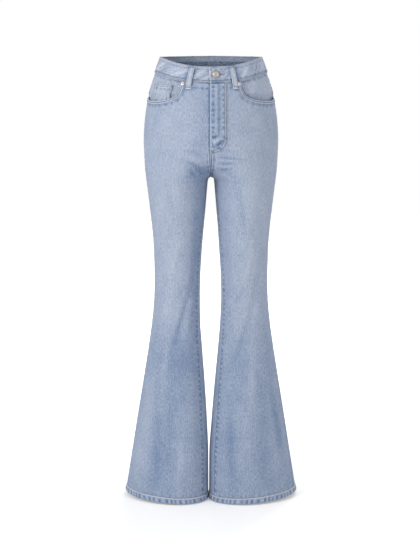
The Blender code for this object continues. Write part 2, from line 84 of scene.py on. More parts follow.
# The floor glows more the farther it lies from the jeans: distances in metres, and strengths
GLOW_FROM = (0, -0.2, FLOOR_Z)
GLOW = {"From Min": 0.3, "From Max": 1.8, "To Min": 0.3, "To Max": 0.8}
WORLD_LIGHT = 0.62
LAMP_TARGET = (0, 0, -0.5)
LAMPS = {"key": ((-3.0, -2.6, 1.2), 1.6, 84), "fill": ((2.6, -2.6, 0.4), 1.8, 26), "back": ((0.8, 3.2, 1.2), 1.8, 60)}


def node(tree, kind, sockets, **settings):
    """A node with its settings, whose sockets take a value or a link from another node's output."""
    made = tree.nodes.new("ShaderNode" + kind)
    for name, value in settings.items():
        setattr(made, name, value)
    for key, value in sockets.items():
        if isinstance(value, bpy.types.NodeSocket):
            tree.links.new(value, made.inputs[key])
        else:
            made.inputs[key].default_value = value
    return made


def material(name, settings):
    """A material on the Principled shader, with constants set on its sockets."""
    made = bpy.data.materials.new(name)
    made.use_nodes = True
    shader = made.node_tree.nodes["Principled BSDF"]
    for key, value in settings.items():
        shader.inputs[key].default_value = value
    return made, made.node_tree, shader


def camera_only(tree, seen, else_value):
    """Mixes two values: `seen` where a camera ray looks straight at the surface, and `else_value` for all light."""
    ray = node(tree, "LightPath", {}).outputs["Is Camera Ray"]
    return node(tree, "Mix", {0: ray, 2: else_value, 3: seen}).outputs[0]


def add_lamp(name, place, size, power):
    """A square lamp, turned towards the jeans, that the camera doesn't see."""
    lamp = bpy.data.lights.new(name, "AREA")
    lamp.size, lamp.energy = size, power
    made = bpy.data.objects.new(name, lamp)
    made.location = place
    toward = np.array(LAMP_TARGET) - np.array(place)
    made.rotation_euler = (math.atan2(math.hypot(toward[0], toward[1]), -toward[2]), 0,
                           math.atan2(toward[0], -toward[1]) + math.pi)
    made.visible_camera = False
    bpy.context.scene.collection.objects.link(made)


world = bpy.data.worlds.new("studio")
bpy.context.scene.world = world
world.use_nodes = True
sky = world.node_tree.nodes["Background"]
sky.inputs["Color"].default_value = (1, 1, 1, 1)
world.node_tree.links.new(camera_only(world.node_tree, 1.0, WORLD_LIGHT), sky.inputs["Strength"])

floor_mesh = bpy.data.meshes.new("floor")
floor_mesh.from_pydata([(x * FLOOR_HALF, y * FLOOR_HALF, FLOOR_Z) for x, y in ((-1, -1), (1, -1), (1, 1), (-1, 1))],
                       [], [(0, 1, 2, 3)])
floor = bpy.data.objects.new("floor", floor_mesh)
bpy.context.scene.collection.objects.link(floor)
pale, pale_tree, floor_shader = material(
    "pale floor", {"Base Color": (0.8, 0.8, 0.8, 1), "Roughness": 0.9, "Emission Color": (1, 1, 1, 1)})
place = node(pale_tree, "TexCoord", {}).outputs["Object"]
away = node(pale_tree, "VectorMath", {0: place, 1: GLOW_FROM}, operation="DISTANCE").outputs["Value"]
glow = node(pale_tree, "MapRange", {"Value": away, **GLOW}).outputs[0]
pale_tree.links.new(camera_only(pale_tree, glow, 0.0), floor_shader.inputs["Emission Strength"])
floor_mesh.materials.append(pale)

for name, (place, size, power) in LAMPS.items():
    add_lamp(name, place, size, power)
bpy.context.scene.view_settings.view_transform = "Standard"
print("floor and", len(LAMPS), "lamps")

# %% [markdown]
# ## The form of the garment
# Jeans are cut flat and sewn into tubes, and a body fills them. The part's source describes the filled form as a
# stack of ellipses for each half of the garment, from a table of sizes, and the same table is repeated here, so that
# every piece lies where its solid lies. Sides are the wearer's: the left is +X. On an ellipse the angle 0 is the
# inseam side, 90 the front, 180 the side seam and 270 the back.

# %% Sizes of the sections, in millimetres, from the top down
SECTION_COLUMNS = ("z", "outer", "centre", "inner_right", "inner_left", "front", "back", "turn")
SECTIONS = np.array((
    (30, 119, 0, -119, -119, 93.5, 93.5, 0.00),
    (20, 123.6, 0, -123.6, -123.6, 95, 95, 0.00),
    (-10, 134.6, 0, -134.6, -134.6, 99, 99, 0.00),
    (-24, 139, 0, -139, -139, 100.5, 101.5, 0.00),
    (-40, 145, 0, -145, -145, 103, 104, 0.00),
    (-100, 159, 0, -159, -159, 111, 116, 0.00),
    (-126, 163.1, 0, -163.1, -163.1, 112.5, 121.5, 0.00),
    (-150, 165.6, 5, -160, -160, 113, 125.5, 0.00),
    (-185, 167.3, 21, -135, -135, 112, 128, 0.00),
    (-216, 166.4, 43, -85, -85, 109, 126.5, 0.00),
    (-248, 165, 63, -34, -34, 104, 120.5, 0.00),
    (-262, 163.8, 70, -15, -15, 101.5, 117, 0.00),
    (-270, 163, 73, -5.5, -5.5, 100, 115, 0.00),
    (-274, 162.6, 74.4, -1.3, -1.3, 99.5, 114, 0.00),
    (-276, 162.3, 75, 0.15, 0.15, 99, 113.5, 0.00),
    (-279, 162, 75.8, 5.5, 5.5, 98.5, 112.6, 0.00),
    (-284, 161.4, 77.2, 7.4, 7.4, 97.5, 111, 0.00),
    (-306, 158.6, 81, 9.7, 9.2, 94, 104.5, 0.00),
    (-366, 151.5, 83.3, 14.7, 14.2, 84.5, 88.5, 0.02),
    (-457, 143.7, 83, 22.8, 20.6, 72, 72, 0.04),
    (-533, 142.1, 84, 27.0, 24.8, 63.5, 61, 0.06),
    (-579, 143.5, 85, 27.7, 25.3, 61, 57.5, 0.07),
    (-641, 149.2, 87, 27.0, 22.9, 60.5, 58, 0.09),
    (-703, 157.9, 89.5, 22.7, 17.9, 62, 62, 0.11),
    (-796, 172.8, 93, 15.9, 9.3, 67, 70, 0.14),
    (-890, 188.2, 97, 10.4, 1.7, 72.5, 77, 0.16),
    (-985, 203.3, 102.5, 7.1, -4.3, 79, 83, 0.18),
    (-1050, 213.9, 107, 7.3, -4.6, 83.5, 86.5, 0.2),
    (-1105, 222.8, 111, 7.6, -4.6, 87, 89, 0.2),
))
# How far, in degrees, the long seams of a leg turn to its front
SEAM_TURN_COLUMNS = ("z", "inseam", "side_right", "side_left")
SEAM_TURNS = np.array((
    (-1105, 27, 5, 18), (-860, 30, 4, 12), (-560, 24, 2, 4), (-350, 14, 0, 0), (-276, 0, 0, 0), (30, 0, 0, 0)))
# Angle that the columns of the front and back panels lean towards
LEAN_COLUMNS = ("z", "front", "back")
LEANS = np.array((
    (-1105, 27, -27), (-860, 30, -30), (-560, 24, -24), (-400, 17, -12), (-350, 18, 0), (-306, 24, 14),
    (-276, 33, 28), (-248, 46, 44), (-216, 62, 61), (-180, 78, 78), (-126, 90, 90), (30, 90, 90)))
print(len(SECTIONS), "sections from", SECTIONS[0, 0], "to", SECTIONS[-1, 0], "mm")

# %% Smooth curves through a table


def smooth(table, columns, name, z):
    """Cubic through one column of a table against its z, in millimetres. The tangent at each row is a harmonic mean
    of the slopes beside it, and level where they turn, so the curve never overshoots between two rows."""
    order = np.argsort(table[:, 0])
    xs, ys = table[order, 0], table[order, columns.index(name)]
    step = np.diff(xs)
    slope = np.diff(ys) / step
    rising = slope[:-1] * slope[1:] > 0
    before, after = np.where(rising, slope[:-1], 1), np.where(rising, slope[1:], 1)
    first, last = 2 * step[1:] + step[:-1], step[1:] + 2 * step[:-1]
    tangent = np.concatenate([slope[:1], np.where(rising, (first + last) / (first / before + last / after), 0),
                              slope[-1:]])
    x = z / MM
    i = np.clip(np.searchsorted(xs, x) - 1, 0, len(step) - 1)
    t = (x - xs[i]) / step[i]
    return ((1 + 2 * t) * (1 - t) ** 2 * ys[i] + t * (1 - t) ** 2 * step[i] * tangent[i]
            + t * t * (3 - 2 * t) * ys[i + 1] + t * t * (t - 1) * step[i] * tangent[i + 1])


def section(side, z):
    """Sizes of one half of the garment at z, by name. Its inner and outer halves are quarter ellipses that meet."""
    read = {name: smooth(SECTIONS, SECTION_COLUMNS, name, z) for name in SECTION_COLUMNS[1:]}
    inner = read["inner_left" if side == LEFT else "inner_right"]
    return {
        "centre": read["centre"] * MM,
        "inward": (read["centre"] - inner) * MM,
        "outward": (read["outer"] - read["centre"]) * MM,
        "depth": (read["front"] + read["back"]) / 2 * MM,
        "middle": (read["back"] - read["front"]) / 2 * MM,
        "turn": read["turn"],
    }


print("hips", round(section(LEFT, np.array(-0.185))["outward"].item() / MM + 21, 1), "mm to each side")

# %% [markdown]
# ## Folds
# Denim that is filled out still creases where the body bends: at the crotch, behind the knees, under the seat, and
# as long soft flutes down the flare. A cloth simulation would give folds of its own, not the ones in the photograph,
# so each fold is given as a bell-shaped ridge or valley along a line on the cloth. The first rows are the
# large folds that the solid part has too, and the others are finer creases, uneven in length, depth and spacing.

# %% Folds: side, angle and z of the middle, half length, half width, slope from level in degrees, how far out
LARGE_FOLDS = (
    ("right", 72, -620, 95, 15, -64, -4.0),
    ("right", 118, -610, 80, 18, -75, 2.0),
    ("right", 92, -880, 130, 17, -90, -4.0),
    ("right", 138, -900, 140, 24, -90, 2.5),
    ("right", 56, -930, 120, 16, -90, 2.0),
    ("left", 115, -940, 130, 18, -92, -4.0),
    ("left", 84, -900, 130, 20, -88, 2.5),
    ("left", 108, -600, 90, 15, 70, -2.5),
    ("right", 70, -250, 30, 8, 26, -3.0),
    ("left", 74, -236, 30, 8, -6, -2.5),
    ("left", 66, -257, 25, 7, 6, -2.5),
    ("right", 285, -302, 42, 11, 15, -4.0),
    ("right", 275, -342, 36, 10, 12, -3.0),
    ("left", 286, -306, 44, 11, 14, -4.0),
    ("left", 274, -348, 36, 10, 10, -3.0),
    ("right", 270, -556, 36, 11, 10, -3.5),
    ("right", 262, -606, 32, 10, -12, -3.0),
    ("left", 268, -548, 36, 11, -9, -3.5),
    ("left", 278, -600, 32, 10, 12, -3.0),
    ("right", 250, -930, 130, 18, 90, -3.5),
    ("left", 290, -920, 130, 18, 90, -3.5),
)
CREASES = (
    # Whiskers that fan out from the crotch at the front
    ("right", 82, -240, 32, 3.6, 24, -1.6),
    ("right", 80, -231, 24, 3.6, 24, 1.2),
    ("right", 76, -258, 24, 3.4, 28, -1.5),
    ("right", 90, -212, 26, 4.2, 20, -1.0),
    ("right", 97, -186, 24, 5.0, 14, -0.7),
    ("left", 88, -224, 25, 3.2, -8, -2.6),
    ("left", 84, -231, 20, 2.8, 0, 1.4),
    ("left", 79, -238, 21, 3.0, 6, -2.3),
    ("left", 75, -245, 18, 2.6, 8, 1.2),
    ("left", 70, -252, 18, 3.0, 10, -2.0),
    ("left", 119, -162, 32, 4.5, 15, -0.9),
    # Bulge at the foot of the fly, between a deep crease under it and short ones over it
    ("left", 89.6, -188, 11, 2.2, 38, -5.6),
    ("left", 87.6, -182, 12, 2.6, 38, 3.4),
    ("left", 89, -172, 5, 2.4, 30, -3.4),
    ("left", 83, -187, 3, 2.6, 90, -2.2),
    ("left", 85, -201, 6, 2.6, -50, -2.2),
    ("right", 62, -266, 20, 3.4, 30, 1.0),
    ("left", 60, -268, 20, 3.4, -26, 1.0),
    # Strain lines beside the fly and at its foot
    ("left", 97, -106, 10, 2.6, -12, -0.7),
    ("left", 98, -128, 12, 3.0, 10, -0.8),
    ("left", 97, -154, 11, 2.8, -8, -0.7),
    ("left", 99, -176, 13, 3.0, 14, -0.9),
    ("left", 94, -196, 14, 3.4, -22, 1.2),
    ("right", 84, -140, 12, 3.0, 12, -0.6),
    ("right", 83, -170, 12, 3.0, -10, -0.7),
    # Soft dents on the thighs, the knees and the shins
    ("right", 104, -330, 60, 12, 74, -1.2),
    ("left", 84, -350, 64, 12, -78, -1.1),
    ("right", 96, -470, 50, 10, -68, 1.0),
    ("left", 100, -480, 56, 11, 72, 1.0),
    ("right", 78, -560, 44, 8, -40, -1.0),
    ("left", 72, -572, 40, 8, 34, -1.0),
    ("right", 84, -660, 50, 9, -66, -1.2),
    ("left", 76, -690, 54, 9, 62, -1.2),
    ("right", 110, -760, 80, 12, -86, 1.2),
    ("left", 98, -780, 84, 12, 84, 1.2),
    ("left", 140, -900, 120, 15, -86, -2.0),
    ("left", 60, -960, 100, 13, -88, -1.6),
    ("right", 112, -960, 110, 13, -92, -1.6),
    ("right", 74, -990, 80, 11, -88, 1.4),
    # Creases behind the knees and across the back of the thighs
    ("right", 284, -530, 26, 5, 20, -1.6),
    ("right", 256, -578, 28, 5, -16, 1.2),
    ("left", 256, -526, 26, 5, -18, -1.6),
    ("left", 284, -576, 28, 5, 15, 1.2),
    ("right", 268, -322, 34, 5, 10, 1.4),
    ("left", 282, -326, 36, 5, 12, 1.4),
    ("right", 300, -286, 28, 5, 24, -1.8),
    ("left", 300, -290, 28, 5, 22, -1.8),
    ("right", 240, -420, 60, 12, 66, -1.2),
    ("left", 244, -440, 60, 12, -68, -1.2),
    ("right", 282, -880, 110, 14, 88, 1.8),
    ("left", 258, -890, 110, 14, 92, 1.8),
    ("right", 224, -960, 90, 13, 90, -1.6),
    ("left", 226, -950, 90, 13, 88, -1.6),
    # Pull beside the button
    ("left", 94, -12, 12, 2.6, 0, 0.8),
    ("left", 101, -24, 12, 5.0, -4, -0.7),
)
FOLD_ARC = 100 * MM


def fold_out(side, angle, z, folds=LARGE_FOLDS + CREASES):
    """How far the folds move the cloth out: for each, its depth times a bell of the distance across its line and a
    bell of the distance along it. Angles count as arcs of a 100 mm radius."""
    total = np.zeros(np.broadcast(angle, z).shape)
    for fold_side, where, level, half_length, half_width, slope, out in folds:
        if SIDES[fold_side] == side:
            across, up = np.radians(angle - where) * FOLD_ARC / MM, z / MM - level
            lean = math.radians(slope)
            along = (across * math.cos(lean) + up * math.sin(lean)) / half_length
            off = (up * math.cos(lean) - across * math.sin(lean)) / half_width
            total = total + out * MM * np.exp(-along**2 - off**2)
    return total


print(len(LARGE_FOLDS), "large folds and", len(CREASES), "creases")

# %% [markdown]
# With the sections and the folds, one function of two parameters, the angle and the level, gives every point of the
# cloth, and a third value moves it out. Another reads the ring above the hips by degrees round from the middle of
# the front, and another finds the front by its place sideways.

# %% The surface of the cloth


def surface(side, angle, z, out=0.0):
    """Points of one half: a quarter ellipse at each level, moved out level along its normal by the folds and `out`,
    and sheared back towards its outer side by the section's turn."""
    angle, z, out = np.broadcast_arrays(angle, z, out)
    size = section(side, z)
    cos, sin = np.cos(np.radians(angle)), np.sin(np.radians(angle))
    half_width, depth = np.where(cos > 0, size["inward"], size["outward"]), size["depth"]
    away = np.stack([-cos * depth, -sin * half_width]) / np.hypot(cos * depth, sin * half_width)
    move = out + fold_out(side, angle, z)
    across = -half_width * cos + away[0] * move
    y = size["middle"] - depth * sin + away[1] * move + size["turn"] * across
    return np.stack([side * (size["centre"] + across), y, z], axis=-1)


def torso(around, z, out=0.0):
    """Points of the ring above the hips: the left half's surface at 90 degrees plus the turn, mirrored where the turn
    goes to the right."""
    around, z, out = np.broadcast_arrays(around, z, out)
    turned = (around + 180) % 360 - 180
    halves = [surface(side, 90 + np.abs(turned), z, out) for side in (RIGHT, LEFT)]
    return np.where((turned < 0)[..., None], halves[0], halves[1])


def front_angle(side, x, z):
    """Angle on the front of one half at the sideways place x: its cosine gives that x on the level's ellipse."""
    size = section(side, z)
    inward = size["centre"] - np.abs(x)
    share = inward / np.where(inward > 0, size["inward"], size["outward"])
    return np.degrees(np.arccos(np.clip(share, -1, 1)))


def front_points(x, z, out=0.0):
    """Points of the front at the sideways places x, on either half."""
    x, z, out = np.broadcast_arrays(x, z, out)
    halves = [surface(side, front_angle(side, x, z), z, out) for side in (RIGHT, LEFT)]
    return np.where((x < 0)[..., None], halves[0], halves[1])


print("front of the left knee at", np.round(surface(LEFT, np.array(90.0), np.array(-0.58)) / MM, 1), "mm")

# %% [markdown]
# ## Edges of the pieces
# Each piece is a patch of that surface, and its edges are seams. They are lines of an angle against a level, as in
# the part's source: the waistband's seam dips at the front, a pocket mouth drops steeply and runs to the side seam,
# and the inner edge of a leg panel is the middle seam above the crotch and the inseam below it.

# %% Levels and seams
CLOTH = 1.5 * MM
TRIM_CLOTH = 1.2 * MM
SEAM_GAP = 0.3 * MM
ON_PANEL = 0.3 * MM
CROTCH = -276 * MM
SIDE_TOP, FRONT_DIP, DIP_POWER, BACK_RISE = 20 * MM, 24.8 * MM, 2.1, 2.5 * MM
BAND_HEIGHT, BAND_TO_FRONT, BAND_TO_SIDE = 40 * MM, 0.5 * MM, 0.9 * MM
MOUTH_START, MOUTH_DEPTH, MOUTH_POWER, MOUTH_RISE = 29.8, 51 * MM, 4.0, 11 * MM
YOKE_SIDE, YOKE_MIDDLE = -62 * MM, -90 * MM
FLY_STRAIGHT_END, FLY_BOTTOM = -178 * MM, -212 * MM
HEM_INNER, HEM_OUTER_LIFT, HEM_HEIGHT = -1097 * MM, 8 * MM, 15 * MM
# Belt loops: degrees round from the front towards the left, at the top and at the bottom
LOOPS = (("front_right", -19.8, -21.4), ("front_left", 21.6, 23.3), ("back_right", -124.0, -124.0),
         ("back_left", 124.0, 124.0), ("back_middle", 180.0, 180.0))
LOOP_REACH = 56 * MM


def top_level(around):
    """Top edge of the waistband: a power of the sine dips it at the front, and its square lifts it at the back."""
    sine = np.abs(np.sin(np.radians(around)))
    at_front = np.cos(np.radians(around)) > 0
    return SIDE_TOP + np.where(at_front, -FRONT_DIP * (1 - sine**DIP_POWER), BACK_RISE * (1 - sine**2))


def below_band(around):
    """Top edge of what is sewn under the waistband, whose own lower edge leans in more at the sides."""
    sine = np.sin(np.radians(around))
    return top_level(around) - BAND_HEIGHT - BAND_TO_FRONT - (BAND_TO_SIDE - BAND_TO_FRONT) * sine**2


def mouth_level(around):
    """Edge of a pocket mouth: a superellipse's corner, from the waistband down and round to the side seam."""
    part = np.clip((np.abs(around) - MOUTH_START) / (90 - MOUTH_START), 0, 1)
    drop = (1 - (1 - part) ** MOUTH_POWER) ** (1 / MOUTH_POWER)
    high = top_level(np.maximum(np.abs(around), MOUTH_START)) - BAND_HEIGHT
    low = top_level(MOUTH_START) - BAND_HEIGHT - MOUTH_DEPTH
    return high * (1 - drop) + low * drop + MOUTH_RISE * part**4


def yoke_level(angle):
    return YOKE_SIDE + (YOKE_MIDDLE - YOKE_SIDE) * (angle - 180) / 90


def hem_level(angle):
    """Lower edge of a leg: lifted to the outer side by the square of a raised cosine."""
    return HEM_INNER + HEM_OUTER_LIFT * ((1 - np.cos(np.radians(angle))) / 2) ** 2


def inner_angle(side, z, back):
    """Angle of a panel's inner edge: where its ellipse meets the middle plane, and under the crotch the inseam."""
    size = section(side, z)
    gap = np.degrees(SEAM_GAP / 2 / size["depth"])
    at_middle = np.degrees(np.arccos(np.clip((size["centre"] - SEAM_GAP / 2) / size["inward"], -1, 1)))
    turn = smooth(SEAM_TURNS, SEAM_TURN_COLUMNS, "inseam", z)
    if back:
        return np.where(z >= CROTCH, 360 - np.maximum(at_middle, gap), 360 + turn - gap)
    return np.where(z >= CROTCH, np.maximum(at_middle, gap), turn + gap)


def side_angle(side, z, back):
    gap = np.degrees(SEAM_GAP / 2 / section(side, z)["depth"])
    seam = 180 - smooth(SEAM_TURNS, SEAM_TURN_COLUMNS, "side_left" if side == LEFT else "side_right", z)
    return seam + gap if back else seam - gap


def panel_angles(side, z, spread, back):
    """Angles of a panel's columns, from its inner edge (0) to its side seam (1): a blend towards a leaning guide, and
    the fourth power keeps the inner edge's quick turn at the crotch to the columns near it."""
    lean = smooth(LEANS, LEAN_COLUMNS, "back" if back else "front", z)
    inner, outer = inner_angle(side, z, back), side_angle(side, z, back)
    guide = 360 - lean if back else lean
    share = 1 - spread
    return outer + (guide - outer) * share + (inner - guide) * share**4


print("pocket mouth reaches", round(float(mouth_level(80.0)) / MM, 1), "mm")

# %% [markdown]
# ## Seams
# What makes cloth read as sewn is the relief along its seams. The edge rounds down into the seam, the layers folded
# under it stand up as a band about 9 mm wide, and beside the stitching the cloth gathers into short puckers, about
# 15 mm apart and never even. After washing, the raised parts are pale and the hollows stay blue. Both follow from
# two numbers at each point: how far it is from the seam, and how far along the seam.

# %% Relief and wear along a seam
FELL_RISE = 0.55 * MM
PUCKER = 0.34 * MM
PUCKER_PITCH = 15 * MM
PUCKER_REACH = 4 * MM
WAIST_RADIUS = 125 * MM


def bell(x):
    return np.exp(-x * x)


def peak(x, at, width):
    """A bell of how far x lies from `at`, with that half width. Both are in millimetres."""
    return bell((x / MM - at) / width)


def step_up(x):
    """A smooth step from 0 to 1 about x = 0: half a hyperbolic tangent."""
    return 0.5 + 0.5 * np.tanh(x)


def ease(x):
    """A smooth step from 0 to 1: the cubic that is level at both ends."""
    x = np.clip(x, 0, 1)
    return x * x * (3 - 2 * x)


def uneven(along, pitch, seed):
    """A wave of about that pitch, from -1 to 1: a sine whose phase and height drift with slower sines."""
    turn = 2 * np.pi * along / pitch
    phase = turn + 1.2 * np.sin(turn / 3.7 + seed) + 0.9 * np.sin(turn / 6.1 + 2.3 * seed)
    return (0.7 + 0.3 * np.sin(turn / 2.3 + 1.7 * seed)) * np.sin(phase + 3 * seed)


def seam_out(distance, along, seed, fell=9 * MM, layers=0.0, pucker=PUCKER, pitch=PUCKER_PITCH):
    """Outward relief: a bell that rounds the edge down, `layers` of cloth up to a smooth step where the fell ends, and
    puckers under a bell just past it."""
    edge = -0.4 * MM * peak(distance, 0, 0.9)
    raised = layers * step_up((fell - distance) / (0.7 * MM))
    return edge + raised + pucker * uneven(along, pitch, seed) * bell((distance - fell - 2 * MM) / PUCKER_REACH)


def seam_wear(distance, along, seed, fell=9 * MM, layers=0.0, pucker=PUCKER, pitch=PUCKER_PITCH):
    """Washed-out share near a seam: pale on its edge and at the end of the fell, blue between them and beside it, and
    blue in the hollows between the puckers."""
    past = distance - fell
    ridge = 0.3 * peak(distance, 0, 1.5) - 0.22 * peak(past, 1.8, 1.8)
    band = layers / FELL_RISE * (0.26 * peak(past, -0.9, 1.3) - 0.1 * bell((distance - fell / 2) / (fell / 4)))
    hollow = np.minimum(uneven(along, pitch, seed) - 0.1, 0.35)
    return ridge + band + pucker / PUCKER * 0.22 * hollow * bell((past - 2 * MM) / PUCKER_REACH)


def sewn(*seams):
    """Relief and washed-out share of several seams together."""
    return sum(seam_out(*seam) for seam in seams), sum(seam_wear(*seam) for seam in seams)


def beside_loops(around, z):
    """Shade beside and just under the belt loops: a bell of the distance from each loop's middle line, and one of the
    depth under its end."""
    total = 0
    for _, loop_top, loop_bottom in LOOPS:
        under = (top_level(loop_top) - z) / LOOP_REACH
        line = loop_top + (loop_bottom - loop_top) * np.clip(under, 0, 1)
        off = np.radians((around - line + 180) % 360 - 180) * WAIST_RADIUS
        total = total + peak(off, 0, 9.5) * peak(np.maximum(under - 1, 0) * LOOP_REACH, 0, 3.5)
    return total


def body_wear_and_shade(side, angle, z):
    """How washed out the body is, with painted shade, as a sum of soft spots by angle and level: pale on the thighs,
    knees and seat, and deeper inside the thighs. Painted shade darkens the crotch, most on the right, the inner side of
    the right leg, which faces away from the lamp, and the cloth beside and under the belt loops. Down the flare it
    darkens, partly as washing and partly as painted fall-off of light. Ridges of the folds wash out, and their valleys
    are painted dark as shade."""
    def spot(amount, where, level, half_angle, half_height):
        return amount * bell((angle - where) / half_angle) * peak(z, level, half_height)

    right = side == RIGHT
    # Painted shade: the crotch, the inner right leg away from the lamp, beside the loops and in the folds' valleys
    return (spot(-0.21 if right else -0.02, 62, -260, 22, 20) + spot(-0.15, 90, -120, 14, 80)
            + spot(-0.14 if right else -0.04, 86, -720, 60, 60) + spot(0.08, 146, -920, 24, 120)
            - 0.34 * beside_loops(side * (angle - 90), z)
            + spot(0.12, 104, -330, 40, 190) + spot(0.06, 98, -600, 36, 110) + spot(0.05, 118, -120, 44, 90)
            + spot(0.12, 256, -190, 36, 90) + spot(0.07, 262, -560, 40, 130)
            - (0.17 if right else 0.03) * step_up((56 - angle) / 7) * peak(z, -450, 260)
            + spot(-0.07, 330, -330, 30, 190) + spot(-0.08, 66, -262, 22, 26)
            - 0.10 * ease((-z / MM - 560) / 300) + 0.02 * fold_out(side, angle, z, LARGE_FOLDS) / MM
            + 0.1 * fold_out(side, angle, z, CREASES) / MM)


print("pucker waves run from", np.round(uneven(np.linspace(0, 1, 900), PUCKER_PITCH, 1).min(), 2))

# %% [markdown]
# ## From a grid of points to a piece of cloth
# A sheet could be a plane that modifiers bend, but a computed grid keeps every seam where it belongs. The points give
# the outer side and Solidify gives the wall inside it. The UV map is the flat cut, in metres, so the weave runs
# straight down the cloth, and the wear with the shade painted into it goes into an attribute that the denim reads.

# %% Grid helpers
COLLECTION = bpy.context.scene.collection
GRIDS = {}
# All that a piece's `out` says, relief and offsets alike, is drawn this many times as high, and the looks were set
# with that
RELIEF = 2


def grid_faces(rows, columns, closed=False):
    """Quads between neighbouring rows and columns of a grid, as the numbers of their four corners."""
    i, j = np.meshgrid(np.arange(rows - 1), np.arange(columns if closed else columns - 1), indexing="ij")
    k = (j + 1) % columns
    return np.stack([i * columns + j, (i + 1) * columns + j, (i + 1) * columns + k, i * columns + k],
                    axis=-1).reshape(-1, 4)


def lengths(points, axis):
    """Length along the cloth from the first row or column of a grid to each point: the running sum of the steps."""
    steps = np.linalg.norm(np.diff(points, axis=axis), axis=-1)
    return np.concatenate([np.zeros_like(np.take(steps, [0], axis=axis)), np.cumsum(steps, axis=axis)], axis=axis)


def from_edges(flat, levels):
    """How far a grid's points lie from its first and last column along the cloth, and in level from its top
    and bottom rows."""
    across = lengths(flat, 1)
    return across, across[:, -1:] - across, levels[:1] - levels, levels - levels[-1:]


def add_piece(name, points, faces, looks, stands_for=()):
    """Makes a mesh object at the origin, smooth shaded, that rides on the part's one body."""
    mesh = bpy.data.meshes.new(name)
    mesh.from_pydata(points.reshape(-1, 3), [], faces)
    mesh.shade_smooth()
    for look in looks:
        mesh.materials.append(look)
    piece = bpy.data.objects.new(name, mesh)
    COLLECTION.objects.link(piece)
    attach(piece, "root")
    if stands_for:
        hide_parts(*stands_for)
    return piece


def cloth(name, place, out, wear_and_shade, wall, looks, stands_for=(), closed=False, gone=None, flat_u=None, flat_v=None):
    """A piece of cloth on a grid. place() gives its outer side from RELIEF times `out`. Each face's corners run so
    that its normal agrees with the way that the grid moves when `out` grows. Unless they are given, u is the length
    across a row, and v is the level."""
    points = place(RELIEF * out)
    away = place(RELIEF * out + MM) - points
    rows, columns = points.shape[:2]
    faces = grid_faces(rows, columns, closed)
    flat_points = points.reshape(-1, 3)
    first, second, last = (flat_points[faces[:, k]] for k in (0, 1, 3))
    if (np.cross(second - first, last - first) * away.reshape(-1, 3)[faces[:, 0]]).sum() < 0:
        faces = faces[:, ::-1]
    across = lengths(points, 1) if flat_u is None else flat_u
    down = flat_points[:, 2] if flat_v is None else flat_v.ravel()
    corners = np.stack([across.ravel()[faces], down[faces]], axis=-1)
    if closed:
        # In the column of faces that closes the ring, the corners on its first column lie one whole turn on
        ring = across[:, -1] + np.linalg.norm(points[:, -1] - points[:, 0], axis=-1)
        turned = (faces % columns == 0) & (faces % columns == columns - 1).any(axis=1)[:, None]
        corners[..., 0] += np.where(turned, ring[faces // columns], 0)
    if gone is not None:
        kept = ~gone.ravel()
        faces, corners = faces[kept], corners[kept]
    piece = add_piece(name, points, faces, looks, stands_for)
    normals = np.cross(np.gradient(points, axis=0), np.gradient(points, axis=1))
    normals *= np.sign((normals * away).sum(axis=-1, keepdims=True))
    GRIDS[name] = points, normals / np.linalg.norm(normals, axis=-1, keepdims=True)
    piece.data.uv_layers.new(name="cloth").data.foreach_set("uv", corners.astype(np.float32).ravel())
    piece.data.attributes.new("wear_and_shade", "FLOAT", "POINT").data.foreach_set(
        "value", np.broadcast_to(wear_and_shade, points.shape[:2]).astype(np.float32).ravel())
    thick = piece.modifiers.new("wall", "SOLIDIFY")
    thick.thickness, thick.offset, thick.use_even_offset = wall, -1, False
    thick.material_offset = 1 if len(looks) > 1 else 0
    area = np.linalg.norm(np.cross(flat_points[faces[:, 1]] - flat_points[faces[:, 0]],
                                   flat_points[faces[:, 3]] - flat_points[faces[:, 0]]), axis=1).sum()
    print(name, points.shape[:2], "across", round(float(across[:, -1].max() - across[:, 0].min()), 3), "m, down",
          round(float(lengths(points, 0)[-1].max()), 3), "m, area", round(float(area), 4), "m2")
    return piece


def crowded(count, marks, tightness, reach):
    """`count` values from 0 to 1, closer together near the marks: the running sum of a density, turned round. The
    density is 1 plus, for each mark, `tightness` times an exponential of the distance over `reach`."""
    value = np.linspace(0, 1, 4001)
    density = 1 + sum(tightness * np.exp(-np.abs(value - mark) / reach) for mark in marks)
    total = np.concatenate([[0], np.cumsum(density[1:] + density[:-1])])
    return np.interp(np.linspace(0, total[-1], count), total, value)


def refined(line):
    """The same line with a point about every millimetre of its length, and its own points besides."""
    along = lengths(line, 0)
    wanted = np.union1d(along, np.arange(0, along[-1], MM))
    return np.stack([np.interp(wanted, along, line[:, k]) for k in range(3)], axis=1)


def nearest_on(points, line):
    """Distance from each point to a line of points, and how far along the line the nearest one is."""
    flat = points.reshape(-1, 3)
    gaps = np.sqrt(np.maximum((flat**2).sum(1)[:, None] + (line**2).sum(1) - 2 * flat @ line.T, 0))
    along = lengths(line, 0)
    return gaps.min(axis=1).reshape(points.shape[:-1]), along[gaps.argmin(axis=1)].reshape(points.shape[:-1])


# %% [markdown]
# ## Washed denim
# Denim is a twill: blue warp threads run down the cloth and show on the right side, over a white weft. The dye stays
# on the outside of the warp, so washing bares the pale core wherever the cloth stands proud. The shader mixes a deep
# and a pale blue by the wear of the cloth and the shade painted into it, and lets the warp's uneven threads, longer
# streaks and soft clouds move that share. A picture of denim could do this, but then its fade wouldn't follow the
# seams.

# %% Shader helpers


